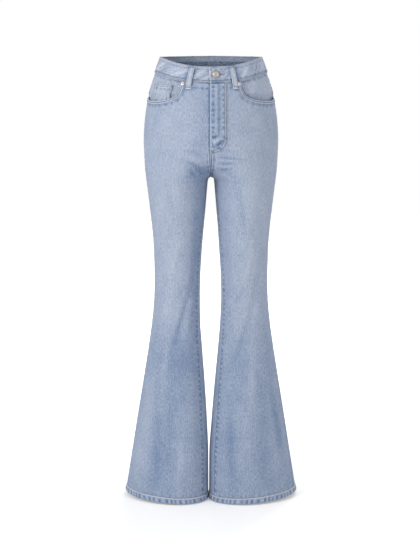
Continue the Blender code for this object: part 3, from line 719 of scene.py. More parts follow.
def node_group(name, inputs, outputs):
    """An empty shader group with named sockets, and its two end nodes."""
    tree = bpy.data.node_groups.new(name, "ShaderNodeTree")
    for label, (kind, value) in inputs.items():
        tree.interface.new_socket(name=label, in_out="INPUT", socket_type="NodeSocket" + kind).default_value = value
    for label, kind in outputs.items():
        tree.interface.new_socket(name=label, in_out="OUTPUT", socket_type="NodeSocket" + kind)
    return tree, tree.nodes.new("NodeGroupInput").outputs, tree.nodes.new("NodeGroupOutput").inputs


def math_node(tree, operation, *values):
    return node(tree, "Math", dict(enumerate(values)), operation=operation).outputs[0]


# %% Streaks: noise stretched along the warp
streaks, given, result = node_group(
    "streaks", {"Cloth": ("Vector", (0, 0, 0)), "Width": ("Float", 0.002), "Length": ("Float", 0.02)},
    {"Streak": "Float"})
size = node(streaks, "CombineXYZ", {"X": given["Width"], "Y": given["Length"], "Z": 1.0}).outputs[0]
stretched = node(streaks, "VectorMath", {0: given["Cloth"], 1: size}, operation="DIVIDE").outputs[0]
noise = node(streaks, "TexNoise", {"Vector": stretched, "Scale": 1.0, "Detail": 1.5, "Roughness": 0.55},
             noise_dimensions="2D")
# The noise lies about 0.5, and the result about 0
streaks.links.new(math_node(streaks, "SUBTRACT", noise.outputs[0], 0.5), result["Streak"])


def streak(tree, cloth_socket, width, length):
    made = node(tree, "Group", {}, node_tree=streaks)
    tree.links.new(cloth_socket, made.inputs["Cloth"])
    made.inputs["Width"].default_value, made.inputs["Length"].default_value = width, length
    return made.outputs["Streak"]


# %% Washed twill
THREAD_TINT = (0.92, 0.97, 1.11)

twill, given, result = node_group(
    "washed twill",
    {"Cloth": ("Vector", (0, 0, 0)), "Wear and shade": ("Float", 0.0), "Base share": ("Float", 0.36),
     "Deep": ("Color", (0.15, 0.22, 0.36, 1)), "Pale": ("Color", (0.62, 0.66, 0.74, 1)), "Grain": ("Float", 0.36)},
    {"Color": "Color", "Roughness": "Float", "Height": "Float"})
thread = streak(twill, given["Cloth"], 0.0025, 0.007)
grain = math_node(twill, "MULTIPLY_ADD", streak(twill, given["Cloth"], 0.0035, 0.03), 0.4, thread)
place = node(twill, "SeparateXYZ", {0: given["Cloth"]}).outputs
# The twill line climbs across the cloth, about 1 mm apart
down = math_node(twill, "MULTIPLY", place[1], 2 * math.pi / 0.0019)
climb = math_node(twill, "MULTIPLY_ADD", place[0], 2 * math.pi / 0.0011, down)
rib = math_node(twill, "SINE", climb)
grain = math_node(twill, "MULTIPLY_ADD", rib, 0.05, grain)
cloud = math_node(twill, "MULTIPLY_ADD", streak(twill, given["Cloth"], 0.04, 0.06), 0.2, given["Wear and shade"])
share = math_node(twill, "ADD", cloud, given["Base share"])
mixed = node(twill, "Mix", {0: share, 6: given["Deep"], 7: given["Pale"]}, data_type="RGBA").outputs[2]
flecks = node(twill, "VectorMath", {0: THREAD_TINT}, operation="SCALE")
twill.links.new(math_node(twill, "MULTIPLY", grain, given["Grain"]), flecks.inputs["Scale"])
twill.links.new(node(twill, "VectorMath", {0: mixed, 1: flecks.outputs[0]}, operation="ADD").outputs[0],
                result["Color"])
twill.links.new(math_node(twill, "MULTIPLY_ADD", thread, 0.15, 0.85), result["Roughness"])
twill.links.new(math_node(twill, "MULTIPLY_ADD", rib, 0.2, grain), result["Height"])


def denim_look(name, deep, pale, base_share, grain_strength, with_wear_and_shade=True):
    """A denim whose twill reads the flat cut and, on the right side, the washed-out share with its painted shade,
    with its height as a bump of 0.25 mm.
    """
    made, tree, shader = material(name, {"Sheen Weight": 0.1, "Sheen Roughness": 0.4, "Specular IOR Level": 0.2})
    washed = node(tree, "Group", {}, node_tree=twill)
    tree.links.new(node(tree, "UVMap", {}, uv_map="cloth").outputs[0], washed.inputs["Cloth"])
    if with_wear_and_shade:
        # This attribute holds the washing and the painted shade together
        tree.links.new(node(tree, "Attribute", {}, attribute_name="wear_and_shade").outputs["Fac"], washed.inputs["Wear and shade"])
    washed.inputs["Base share"].default_value = base_share
    washed.inputs["Deep"].default_value = (*deep, 1)
    washed.inputs["Pale"].default_value = (*pale, 1)
    washed.inputs["Grain"].default_value = grain_strength
    bump = node(tree, "Bump", {"Height": washed.outputs["Height"], "Strength": 0.5, "Distance": 0.00025})
    tree.links.new(washed.outputs["Color"], shader.inputs["Base Color"])
    tree.links.new(washed.outputs["Roughness"], shader.inputs["Roughness"])
    tree.links.new(bump.outputs[0], shader.inputs["Normal"])
    return made, tree, washed


DENIM, _, _ = denim_look("denim", (0.15, 0.22, 0.36), (0.62, 0.66, 0.74), 0.36, 0.28)
# The inside is a darker copy of the denim, painted shade for the hollow garment
DENIM_INSIDE_SHADED, _, _ = denim_look("denim inside", (0.10, 0.14, 0.21), (0.38, 0.42, 0.50), 0.4, 0.2, with_wear_and_shade=False)
LOOKS = (DENIM, DENIM_INSIDE_SHADED)
# Inside the waistband the denim is a darker copy, painted shade, and it turns darker again from about 14 mm below its
# top, where its flat cut's u is 14 mm
BAND_INSIDE_SHADED, band_tree, band_twill = denim_look(
    "denim inside the band", (0.14, 0.19, 0.28), (0.46, 0.52, 0.62), 0.4, 0.3, with_wear_and_shade=False)
flat_cut = node(band_tree, "SeparateXYZ", {0: node(band_tree, "UVMap", {}, uv_map="cloth").outputs[0]}).outputs[0]
lower = node(band_tree, "MapRange", {"Value": flat_cut, "From Min": 0.0125, "From Max": 0.0155, "To Min": 0.14,
                                     "To Max": -0.4})
band_tree.links.new(lower.outputs[0], band_twill.inputs["Wear and shade"])
print("denim uses", len(twill.nodes), "nodes in its twill group")

# %% [markdown]
# ## Leg panels
# Two fronts and two backs make the legs. Each one is a single piece from the waist to the hem, so the weave runs
# straight down it. A front is cut away at its top corner for the pocket mouth, whose edge is turned in and stitched
# twice. The inner edge of the fronts is felled above the crotch, and the backs are felled on their inseam side.

# %% Front and back panels
BODY_LEVELS = -np.concatenate([np.arange(126, 252, 4), np.arange(252, 304, 2), np.arange(304, 1044, 4)]) * MM
TOP_SHARES = crowded(34, (0,), 7, 0.06)[:-1, None]
HEM_SHARES = crowded(13, (1,), 4, 0.15)[1:, None]
CREASE_X = 80 * MM
FRONT_SPREAD, BACK_SPREAD = (crowded(112, marks, 4, 0.032) for marks in ((0, MOUTH_START / 90, 1), (0, 1)))
# Rows of stitches, by their distance from the edge
MIDDLE_ROWS = {RIGHT: (3.8 * MM,), LEFT: (1.2 * MM, 6.4 * MM)}
MOUTH_ROWS = (2.8 * MM, 8.9 * MM)


def cut_across(side, points, angles, levels):
    """Length across the cloth from its lengthwise grain, which runs down the crease of the leg: on each row, the
    length up to a column less the length up to the angle where the crease lies."""
    size = section(side, levels[:, :1])
    inward = size["centre"] - np.maximum(size["centre"], CREASE_X)
    crease = np.degrees(np.arccos(inward / size["outward"]))
    if angles.mean() > 180:
        crease = 360 - crease
    across = lengths(points, 1)
    way = np.sign(angles[:1, -1:] - angles[:1, :1])
    rising, target = angles * way, crease * way
    i = np.clip((rising < target).sum(axis=1, keepdims=True), 1, angles.shape[1] - 1)
    before, after = np.take_along_axis(rising, i - 1, 1), np.take_along_axis(rising, i, 1)
    part = (target - before) / (after - before)
    return across - (np.take_along_axis(across, i - 1, 1) * (1 - part) + np.take_along_axis(across, i, 1) * part)


def panel(word, side, back):
    """A leg panel: rows run from the top edge down to the hem, and columns from the inner edge to the side seam."""
    seed, which = (10 * side + 5, "back") if back else (10 * side, "front")
    spread = BACK_SPREAD if back else FRONT_SPREAD
    start = 270 - spread * 90 if back else 90 + spread * 90
    tops = yoke_level(start) - SEAM_GAP / 2 if back else np.minimum(below_band(start - 90), mouth_level(start - 90))
    upper = tops * (1 - TOP_SHARES) + BODY_LEVELS[0] * TOP_SHARES
    body = np.repeat(BODY_LEVELS[:, None], len(spread), axis=1)
    bottom = hem_level(panel_angles(side, body[-1], spread, back)) + HEM_HEIGHT + SEAM_GAP
    levels = np.concatenate([upper, body, body[-1] * (1 - HEM_SHARES) + bottom * HEM_SHARES])
    angles = panel_angles(side, levels, spread, back)
    flat = surface(side, angles, levels)
    inner, outer, _, end = from_edges(flat, levels)
    top, top_along = nearest_on(flat, refined(flat[0]))
    # Under the fly the middle seam is felled, beside the fly's fold it lies hidden, and the inseam is plain
    above = step_up((levels - CROTCH - 4 * MM) / (6 * MM))
    beside_fly = 0.0 if back else step_up((levels - FLY_BOTTOM) / (6 * MM))
    felled, plain = above * (1 - beside_fly), 1 - above
    # A mouth is felled all along, its upright part too, and the edge under the waistband isn't
    mouth_start = -1.0 if back else lengths(flat[0], 0)[np.flatnonzero(start - 90 <= MOUTH_START)[-1]]
    mouth = step_up((top_along - mouth_start - 1 * MM) / (1 * MM))
    middle_out, middle_wear = sewn((inner, levels, seed, 7 * MM, FELL_RISE))
    top_out, top_wear = sewn((top, top_along, seed + 2, 10 * MM, FELL_RISE * mouth))
    gathers = uneven(inner, 13 * MM, seed + 3) * peak(end, 0, 9)
    out = (felled * middle_out + plain * seam_out(inner, levels, 0, pucker=0) + top_out
           + seam_out(outer, levels, seed + 1, 1.5 * MM, 0, 0.2 * MM, 18 * MM)
           - 0.4 * MM * peak(end, 0, 1.2) + 0.3 * MM * gathers)
    # The strip beside the fly's fold is painted dark, a painted shadow of the lap
    wear_and_shade = (body_wear_and_shade(side, angles, levels) + felled * middle_wear + top_wear + 0.16 * gathers
            + seam_wear(outer, levels, seed + 1, 1.5 * MM, 0, 0.16 * MM, 18 * MM) - 0.25 * peak(outer, 0, 1.5)
            - 0.36 * beside_fly * peak(inner, 4.2, 2.4) - 0.1 * plain * peak(inner, 0, 1.2))
    if not back:
        # Beside the inseam the cloth is drawn in at every few stitches, in small separate hollows
        beside_inseam = plain * peak(inner, 4, 2.8)
        drawn = np.clip(0.25 + uneven(levels, 12.5 * MM, seed), 0, 1) * beside_inseam
        # The thread of the middle seam sinks in, and the cloth beside it is painted dark as the shade of its groove
        sunk = felled * sum(peak(inner, distance / MM, 1) for distance in MIDDLE_ROWS[side])
        out = out - 0.7 * MM * drawn - 0.4 * MM * sunk
        wear_and_shade = (wear_and_shade - drawn + 0.2 * beside_inseam - 0.75 * sunk + 0.2 * felled * peak(inner, 3.7, 9)
                + mouth * (0.26 * peak(top, 5.5, 4) + 0.4 * peak(top, 0, 1)
                           - 0.7 * (peak(top, 2.8, 0.8) + peak(top, 8.9, 0.9))))
    return cloth(f"{word}_{which}_panel", partial(surface, side, angles, levels), out, wear_and_shade, CLOTH, LOOKS,
                 (f"{which}_{word}",), flat_u=cut_across(side, flat, angles, levels))


for word, side in SIDES.items():
    panel(word, side, False)
    panel(word, side, True)

# %% [markdown]
# ## Yokes
# A yoke takes the place of darts: the back is cut off on a slant and a separate piece set in, so that the cloth is
# shaped over the seat without a fold. Its lower edge is felled over the back panel.

# %% Yokes
YOKE_SHARES = crowded(34, (0, 1), 6, 0.06)[:, None]


def yoke(word, side):
    seed = 3 * side + 20
    spread = crowded(76, (0, 1), 5, 0.02)
    start = 270 - spread * 90
    levels = below_band(start - 90) * (1 - YOKE_SHARES) + (yoke_level(start) + SEAM_GAP / 2) * YOKE_SHARES
    angles = panel_angles(side, levels, spread, True)
    inner, outer, upper, lower = from_edges(surface(side, angles, levels), levels)
    out, wear_and_shade = sewn((inner, levels, seed, 7 * MM, FELL_RISE), (outer, levels, seed + 1, 2 * MM),
                     (lower, inner, seed + 2, 9 * MM, FELL_RISE), (upper, inner, seed + 3, 1 * MM))
    # On the left the cloth at the side seam is painted dark, a painted shadow of the seam's gap
    wear_and_shade = wear_and_shade + body_wear_and_shade(side, angles, levels) - (0.9 if side == LEFT else 0.0) * peak(outer, 0, 2.5)
    return cloth(f"{word}_yoke", partial(surface, side, angles, levels), out, wear_and_shade, CLOTH, LOOKS, (f"yoke_{word}",))


for word, side in SIDES.items():
    yoke(word, side)

# %% [markdown]
# ## Front pockets
# Behind each curved mouth lies a facing of the same denim, sewn to the pocket bag, and the small coin pocket is a
# patch on the right one. The facing hangs up to 7 mm behind the mouth, so the mouth's edge casts a shadow on it,
# and it comes up flush where it is caught in the waistband and the side seam.

# %% Facings and coin pocket
FACING_START, FACING_END, FACING_BOTTOM = 24.0, 89.9, -106 * MM
FACING_BEHIND, FACING_UNDER, FACING_FLUSH, FACING_SIDE = -3.7 * MM, -1.9 * MM, -0.3 * MM, 9.0
FACING_SLOPE, FACING_SLOPE_ANGLE, FACING_SLOPE_FROM = 18 * MM, 14.0, 0.25
COIN_ANGLES, COIN_TOPS, COIN_BOTTOM = (38.8, 65.0), (-47 * MM, -43 * MM), -94 * MM
COIN_LEAN, COIN_CLEAR = 3.4, 0.7 * MM
HIP_RADIUS, DEGREE_LENGTH = 150 * MM, 2.4 * MM


def facing_out(around, z):
    """How far out a facing lies: behind the front panel, with smooth steps up where it is sewn in, under the
    waistband and along the side seam."""
    above = z - mouth_level(around)
    past = (np.abs(around) - MOUTH_START) / FACING_SLOPE_ANGLE
    rise = ease(np.minimum(above / FACING_SLOPE, past) - FACING_SLOPE_FROM)
    deep = FACING_BEHIND + (FACING_FLUSH - FACING_BEHIND) * rise
    at_side = ease((np.abs(around) - FACING_END + FACING_SIDE) / FACING_SIDE)
    seam = FACING_UNDER + (FACING_FLUSH - FACING_UNDER) * ease(above / (2 * MM) + 0.2)
    return deep + (seam - deep) * at_side


def facing(word, side):
    seed = 4 * side + 30
    around = side * (FACING_START + (FACING_END - FACING_START) * crowded(60, (1,), 4, 0.03))
    share = crowded(44, (0,), 4, 0.05)[:, None]
    levels = below_band(around) * (1 - share) + FACING_BOTTOM * share
    around = np.broadcast_to(around, levels.shape)
    outer = np.abs(np.radians(side * FACING_END - around)) * HIP_RADIUS
    seams_out, seams_wear = sewn((outer, levels, seed, 2 * MM),
                                 (levels[:1] - levels, around * DEGREE_LENGTH, seed, 1 * MM))
    out = facing_out(around, levels) + seams_out
    # The upright part of the left mouth shades the cloth beside it, and the side seam shades the facing's outer edge:
    # both are painted shade, strong on the left and faint on the right
    edge = side * (MOUTH_START + (FACING_END - MOUTH_START) * np.linspace(0, 1, 200) ** 4)
    inside, _ = nearest_on(torso(around, levels), torso(edge, mouth_level(edge)))
    by_side, by_mouth = (1.0, 1.1) if side == LEFT else (0.1, 0.2)
    wear_and_shade = (0.14 + seams_wear - by_side * peak(outer, 0, 5)
            - by_mouth * peak(inside, 1, 3.4) * peak(levels, -62, 20))
    return cloth(f"{word}_pocket_facing", partial(torso, around, levels), out, wear_and_shade, TRIM_CLOTH, LOOKS,
                 (f"pocket_facing_{word}",))


def coin_pocket():
    """A patch on the right facing. Its turned edges are raised, and its top is hemmed 9 mm deep."""
    across, down = crowded(46, (0, 1), 6, 0.05), crowded(40, (0, 1), 6, 0.05)[:, None]
    around = -(COIN_ANGLES[0] + COIN_LEAN * down * (1 - across) + (COIN_ANGLES[1] - COIN_ANGLES[0]) * across)
    levels = (COIN_TOPS[0] + (COIN_TOPS[1] - COIN_TOPS[0]) * across) * (1 - down) + COIN_BOTTOM * down
    inner, outer, top, bottom = from_edges(torso(around, levels), levels)
    out, wear_and_shade = sewn((top, inner, 41, 10 * MM, FELL_RISE))
    for gap, along, seed in ((inner, levels, 42), (outer, levels, 43), (bottom, inner, 44)):
        out = out + seam_out(gap, along, seed, 7 * MM, FELL_RISE * 0.6, 0.15 * MM)
        wear_and_shade = wear_and_shade + seam_wear(gap, along, seed, 7 * MM, FELL_RISE * 0.6)
    return cloth("coin_pocket_patch", partial(torso, around, levels),
                 facing_out(around, levels) + COIN_CLEAR + TRIM_CLOTH + out, 0.2 + wear_and_shade, TRIM_CLOTH, LOOKS,
                 ("coin_pocket",))


for word, side in SIDES.items():
    facing(word, side)
coin_pocket()

# %% [markdown]
# ## Fly
# The left front's edge is turned back and laps over the right one, and the line of stitches shaped like a J holds
# the facing behind the zip. The lap is its own piece, with a full fold at its edge, and it dies away into the front
# panel at the J, where there is no edge at all on the real jeans.

# %% The J shaped lap
FLY_EDGE, FLY_WIDTH, FLY_TIP = -1.9 * MM, 40.4 * MM, 3 * MM
FLY_FADE = 6 * MM


def fly():
    """Rows run down the fold. Under the straight part, the width closes in on a quarter ellipse."""
    straight = np.linspace(below_band(0), FLY_STRAIGHT_END, 64)
    turn = np.radians(crowded(30, (1,), 4, 0.1)[1:] * 90)
    rows = np.concatenate([straight, FLY_STRAIGHT_END + (FLY_BOTTOM - FLY_STRAIGHT_END) * np.sin(turn)])
    widths = np.concatenate([np.full(len(straight), FLY_WIDTH), FLY_TIP + (FLY_WIDTH - FLY_TIP) * np.cos(turn)])
    share = crowded(44, (0, 1), 5, 0.05)
    x = FLY_EDGE + widths[:, None] * share
    slant = top_level(np.degrees(np.arcsin(x[0] / section(LEFT, rows[0])["outward"]))) - top_level(0)
    fall = np.clip((rows - FLY_STRAIGHT_END) / (rows[0] - FLY_STRAIGHT_END), 0, 1)
    levels = rows[:, None] + slant * fall[:, None]
    flat = front_points(x, levels)
    fold = x - FLY_EDGE
    edge, edge_along = nearest_on(flat, np.concatenate([flat[:, -1], flat[-1, ::-1]]))
    # At the fold the lap stands a whole thickness out, and at the J it sinks level with the panel
    sunk = bell(edge / FLY_FADE)
    lift = ON_PANEL + TRIM_CLOTH * (1 - sunk) + 0.2 * MM * sunk
    pulls, gathers = uneven(levels, 14 * MM, 51), uneven(edge_along, 14 * MM, 52)
    ridge, valley = peak(x, 13, 3.4), peak(x, 19.5, 2.6)
    upright = np.clip((levels - FLY_STRAIGHT_END) / (20 * MM), 0, 1)
    out = (lift - 0.7 * MM * peak(fold, 0, 0.9) + 0.6 * MM * pulls * peak(fold, 7, 3.4)
           + upright * (0.7 * MM * ridge - 0.5 * MM * valley)
           + 0.35 * MM * gathers * peak(edge, 9, 4))
    # The valley beside the ridge is painted dark as shade, on top of its relief
    wear_and_shade = (body_wear_and_shade(LEFT, front_angle(LEFT, x, levels), levels) + 0.42 * peak(fold, 0, 1.8)
            + (0.4 * np.minimum(pulls, 0.3) - 0.14) * peak(fold, 7, 3.4)
            + upright * (0.1 * ridge - 0.22 * valley) + 0.12 * peak(edge, 4.5, 3)
            - 0.3 * peak(edge, 1.6, 1) - 0.3 * peak(edge, 7, 1)
            + 0.34 * np.minimum(gathers, 0.3) * peak(edge, 9, 3.5))
    return cloth("fly_lap", partial(front_points, x, levels), out, wear_and_shade, TRIM_CLOTH, LOOKS, ("fly",),
                 flat_u=x - CREASE_X)


fly()

# %% [markdown]
# ## Back pockets
# Two five-cornered patches sit on the seat. Their edges are turned in and stitched twice, and the top is hemmed. The
# photograph doesn't show them, so they are plain.

# %% Back pockets
POCKET_TOPS, POCKET_CORNERS, POCKET_POINT = (-103 * MM, -95 * MM), (-222 * MM, -214 * MM), 24 * MM
POCKET_TOP_SPAN, POCKET_BOTTOM_SPAN = (0.15, 0.74), (0.19, 0.69)
POCKET_CLEAR = 0.7 * MM


def back_pocket(word, side):
    seed = 6 * side + 60
    across, down = crowded(80, (0, 0.5, 1), 4, 0.03), crowded(70, (0, 1), 5, 0.03)[:, None]
    tops = POCKET_TOPS[0] + (POCKET_TOPS[1] - POCKET_TOPS[0]) * across
    corners = POCKET_CORNERS[0] + (POCKET_CORNERS[1] - POCKET_CORNERS[0]) * across
    levels = tops * (1 - down) + (corners - POCKET_POINT * (1 - np.abs(2 * across - 1))) * down
    low, high = (POCKET_TOP_SPAN[k] * (1 - down) + POCKET_BOTTOM_SPAN[k] * down for k in (0, 1))
    angles = panel_angles(side, levels, low + (high - low) * across, True)
    flat = surface(side, angles, levels)
    sides, sides_along = nearest_on(flat, np.concatenate([flat[:, 0], flat[-1, 1:], flat[-2::-1, -1]]))
    inner, _, top, _ = from_edges(flat, levels)
    out, wear_and_shade = POCKET_CLEAR + TRIM_CLOTH, 0.06 + body_wear_and_shade(side, angles, levels)
    for gap, along, seed, fell in (sides, sides_along, seed, 9 * MM), (top, inner, seed + 1, 14 * MM):
        out = out + seam_out(gap, along, seed, fell, FELL_RISE * 0.7)
        wear_and_shade = wear_and_shade + seam_wear(gap, along, seed, fell, FELL_RISE)
    return cloth(f"{word}_back_pocket", partial(surface, side, angles, levels), out, wear_and_shade, TRIM_CLOTH, LOOKS,
                 (f"back_pocket_{word}",))


for word, side in SIDES.items():
    back_pocket(word, side)

# %% [markdown]
# ## Hems
# Each hem is a tube of the leg turned up twice and stitched 14 mm above the edge. Where the needle feeds the upper
# layer faster than the lower one, the double cloth twists into slanting ridges, which wash out pale: a roped hem.

# %% Turned hems
HEM_OUT, HEM_WALL = 0.8 * MM, 3.0 * MM
ROPE_PITCH = 13.5 * MM


def hem(word, side):
    """A closed ring. The slanting ridges are the uneven wave of the length round plus a share of the height."""
    seed = 7 * side + 70
    angles = np.linspace(0, 360, 421)[:-1]
    down = crowded(20, (0, 1), 3, 0.12)[:, None]
    levels = hem_level(angles) + HEM_HEIGHT * (1 - down)
    angles = np.broadcast_to(angles, levels.shape)
    flat = surface(side, angles, levels)
    round_it, up = lengths(flat, 1), levels - levels[-1:]
    girth = round_it[:, -1:] + np.linalg.norm(flat[:, -1] - flat[:, 0], axis=-1)[:, None]
    phase = 2 * np.pi * (round_it / girth * np.round(girth.mean() / ROPE_PITCH) - 0.25 * up / ROPE_PITCH)
    turn = np.radians(angles)
    rope = np.sin(phase + 1.6 * np.sin(5 * turn + seed) + 1.1 * np.sin(13 * turn))
    rope = rope * (0.7 + 0.3 * np.sin(17 * turn + seed))
    open_top = 1 - peak(HEM_HEIGHT - up, 0, 1.2)
    middle = peak(up, 6.5, 4.6)
    out = (HEM_OUT * open_top - 0.9 * MM * peak(up, 0, 1.1) + 0.42 * MM * rope * middle
           - 0.3 * MM * peak(up, 12, 1.3))
    wear_and_shade = (-0.08 + 0.8 * np.minimum(rope, 0.2) * middle + 0.34 * peak(up, 0, 1.4)
            + 0.42 * peak(up, 14.2, 1.4))
    return cloth(f"{word}_hem", partial(surface, side, angles, levels), out, wear_and_shade, HEM_WALL, LOOKS, (f"hem_{word}",),
                 closed=True)


for word, side in SIDES.items():
    hem(word, side)

# %% [markdown]
# ## Waistband and belt loops
# The band is one strip folded lengthwise, so it is twice as thick as a panel. Its left end laps over the right one
# and holds the buttonhole, which is left out of the grid and bound with thread later. The loops are narrow strips
# tacked down at both ends.

# %% Waistband
BAND_OUT, BAND_WALL = 1.0 * MM, 2.5 * MM
BAND_START, BAND_UNDER_END, BAND_STEP_START, BAND_STEP_END = -2.4, 14.2, 338.0, 355.5
BAND_END_LEAN = 1.6
# Degrees round up to which the cloth belongs to the lap's end, and what the button pulls
LAP_REACH = 40
BUTTON_X, BUTTON_Z = 10.9 * MM, -23.6 * MM
BUTTONHOLE_EYE, BUTTONHOLE_END, BUTTONHOLE_SLIT = 4.6 * MM, 31 * MM, 1.0 * MM


def waistband():
    """Columns run once round and past the button, where the right end steps in behind the left one."""
    around = BAND_START + (360 + BAND_UNDER_END - BAND_START) * crowded(620, (0, 0.03, 1), 3, 0.012)
    behind = ease((around - BAND_STEP_START) / (BAND_STEP_END - BAND_STEP_START))
    down = crowded(44, (0, 1), 5, 0.05)[:, None]
    levels = top_level(around) - BAND_HEIGHT * down
    # The lap's end leans over towards the fly's fold
    around = around + BAND_END_LEAN * down * np.exp((BAND_START - around) / 3)
    flat = torso(around, levels)
    along, end, top, bottom = from_edges(flat, levels)
    swell = uneven(along, 46 * MM, 80)
    out = (BAND_OUT - (BAND_WALL + SEAM_GAP) * behind + 0.5 * MM * swell * peak(top, 20, 14)
           + 0.35 * MM * uneven(along + 0.5 * top, 23 * MM, 81) * peak(top, 22, 12))
    # Beside the belt loops the band is painted dark as their shade
    wear_and_shade = (0.16 + 0.2 * swell * peak(top, 20, 15) + 0.16 * uneven(along + 0.7 * top, 19 * MM, 81) * peak(top, 22, 14)
            - 0.6 * beside_loops(around, levels) - 0.3 * (peak(bottom, 2.2, 0.9) + peak(bottom, 7.2, 0.9)))
    for gap, where, seed, fell in ((top, along, 82, 5 * MM), (bottom, along, 83, 5 * MM), (along, levels, 84, 4 * MM),
                                   (end, levels, 85, 4 * MM)):
        out = out + seam_out(gap, where, seed, fell, 0.15 * MM, 0.22 * MM, 11 * MM) - 0.3 * MM * peak(gap, 0, 1.2)
        wear_and_shade = wear_and_shade + 0.9 * seam_wear(gap, where, seed, fell, 0.15 * MM, 0.2 * MM, 11 * MM)
    # The button pulls the lap up in an arc over it, and in at its sides
    x, z, on_lap = flat[..., 0] - BUTTON_X, flat[..., 2] - BUTTON_Z, around < LAP_REACH
    away, arc = np.hypot(x, z), z - 13 * MM + x * x / (30 * MM)
    out = out + 0.7 * MM * on_lap * peak(away, 0, 22) * peak(arc, 0, 3)
    # The band is painted dark round the button, under it, to its right and over the arc, as painted shade; the arc's
    # ridge and a slanting line under it wash out pale
    wear_and_shade = wear_and_shade + on_lap * (
        0.3 * peak(away, 0, 22) * peak(arc, 0, 2) - 0.4 * peak(away, 0, 12) - 0.5 * peak(arc, 4, 2) * peak(x, -4, 6)
        - 0.24 * peak(x, 26, 12) * peak(z, 2, 16) - 0.6 * peak(x, 4, 11) * peak(bottom, 0, 5)
        + 0.3 * peak(z - 0.35 * (x - 10 * MM), -5, 2) * peak(x, 17, 9))
    hole = on_lap & (((np.abs(z) < BUTTONHOLE_SLIT / 2) & (x > 0) & (flat[..., 0] < BUTTONHOLE_END))
                     | (away < BUTTONHOLE_EYE / 2))
    gone = hole[:-1, :-1] & hole[1:, :-1] & hole[1:, 1:] & hole[:-1, 1:]
    return cloth("waistband_strip", partial(torso, around, levels), out, wear_and_shade, BAND_WALL, (DENIM, BAND_INSIDE_SHADED),
                 ("waistband",), gone=gone, flat_u=top, flat_v=np.broadcast_to(along[:1], levels.shape))


waistband()

# %% Belt loops
LOOP_WIDTH, LOOP_BELOW_TOP, LOOP_STAND = 13 * MM, 2.5 * MM, 3.3 * MM
# Down a loop in millimetres, and how much of its stand it has there: both ends are tacked flat
LOOP_SHAPE = np.array(((0, 0), (3, 0), (5, 0.02), (8, 0.5), (11, 0.93), (16, 1), (27, 1), (38, 1), (43, 0.93),
                       (46, 0.5), (49, 0.02), (51, 0), (54, 0)))


def loop_points(around_top, around_bottom, down, across, out):
    """Points on a loop by the length down it and the share across it, from -1 to 1. `out` adds to its stand."""
    part = down / (LOOP_SHAPE[-1, 0] * MM)
    stand = np.interp(down / MM, *LOOP_SHAPE.T) * (BAND_OUT + LOOP_STAND)
    inner = ON_PANEL + np.maximum(stand, np.where(part < 0.5, BAND_OUT, 0))
    around = around_top + (around_bottom - around_top) * part
    levels = top_level(around) - LOOP_BELOW_TOP - down
    size = section(LEFT, levels)
    swing = np.hypot(size["outward"] * np.cos(np.radians(around)), size["depth"] * np.sin(np.radians(around)))
    return torso(around + np.degrees(LOOP_WIDTH / 2 / swing) * across, levels, inner + TRIM_CLOTH + out)


def belt_loop(name, around_top, around_bottom):
    down = LOOP_SHAPE[-1, 0] * MM * crowded(72, (0, 1), 3, 0.05)[:, None]
    across = 2 * crowded(26, (0, 0.5, 1), 3, 0.06) - 1
    edge = (1 - np.abs(across)) * LOOP_WIDTH / 2
    # Two rows of stitches press grooves beside the raised middle
    out = (0.25 * MM * bell(across / 0.42) - 0.45 * MM * peak(edge, 0, 0.8)
           + 0.12 * MM * uneven(down, 9 * MM, around_top) * bell(across / 0.8))
    wear_and_shade = (0.2 + 0.2 * peak(edge, 0, 1.2) + 0.16 * bell(across / 0.35) - 0.14 * peak(edge, 2.6, 1)
            + 0.3 * peak(down[-1:] - down, 0, 2))
    return cloth(f"{name}_belt_loop", partial(loop_points, around_top, around_bottom, down, across), out, wear_and_shade,
                 TRIM_CLOTH, LOOKS, (f"belt_loop_{name}",))


for name, around_top, around_bottom in LOOPS:
    belt_loop(name, around_top, around_bottom)

# %% [markdown]
# ## Button and rivets
# The button is a two-part tack button: a pressed cap on a shank that goes through the buttonhole, and a nail driven
# through the layer behind. The rivets are smaller caps set the same way at the ends of the pocket mouths. Both are
# turned shapes, so each is a profile swept round its axis.

# %% Turned caps
BUTTON_CAP = ((0, 3.0), (1.6, 3.05), (2.6, 3.2), (3.1, 3.55), (3.6, 3.6), (4.1, 3.45), (4.6, 3.2), (5.6, 3.2),
              (6.1, 3.5), (6.8, 3.6), (7.5, 3.3), (8.0, 2.7), (8.3, 2.0), (8.2, 1.4), (7.9, 1.0), (6.5, 0.75),
              (5.0, 0.6), (3.0, 0.6), (1.9, 0.6), (1.7, 0.5), (1.7, -2.5), (0, -2.5))
RIVET_CAP = ((0, 1.25), (0.7, 1.2), (1.1, 0.95), (1.35, 1.3), (1.7, 1.75), (2.3, 1.95), (2.9, 1.8), (3.5, 1.4),
             (4.0, 1.0), (4.4, 0.5), (4.5, 0.2), (4.3, 0.0), (2.0, 0.0), (0, 0.0))
RIVETS = (("right", -68 * MM, -46.2 * MM), ("left", 67 * MM, -46.2 * MM))


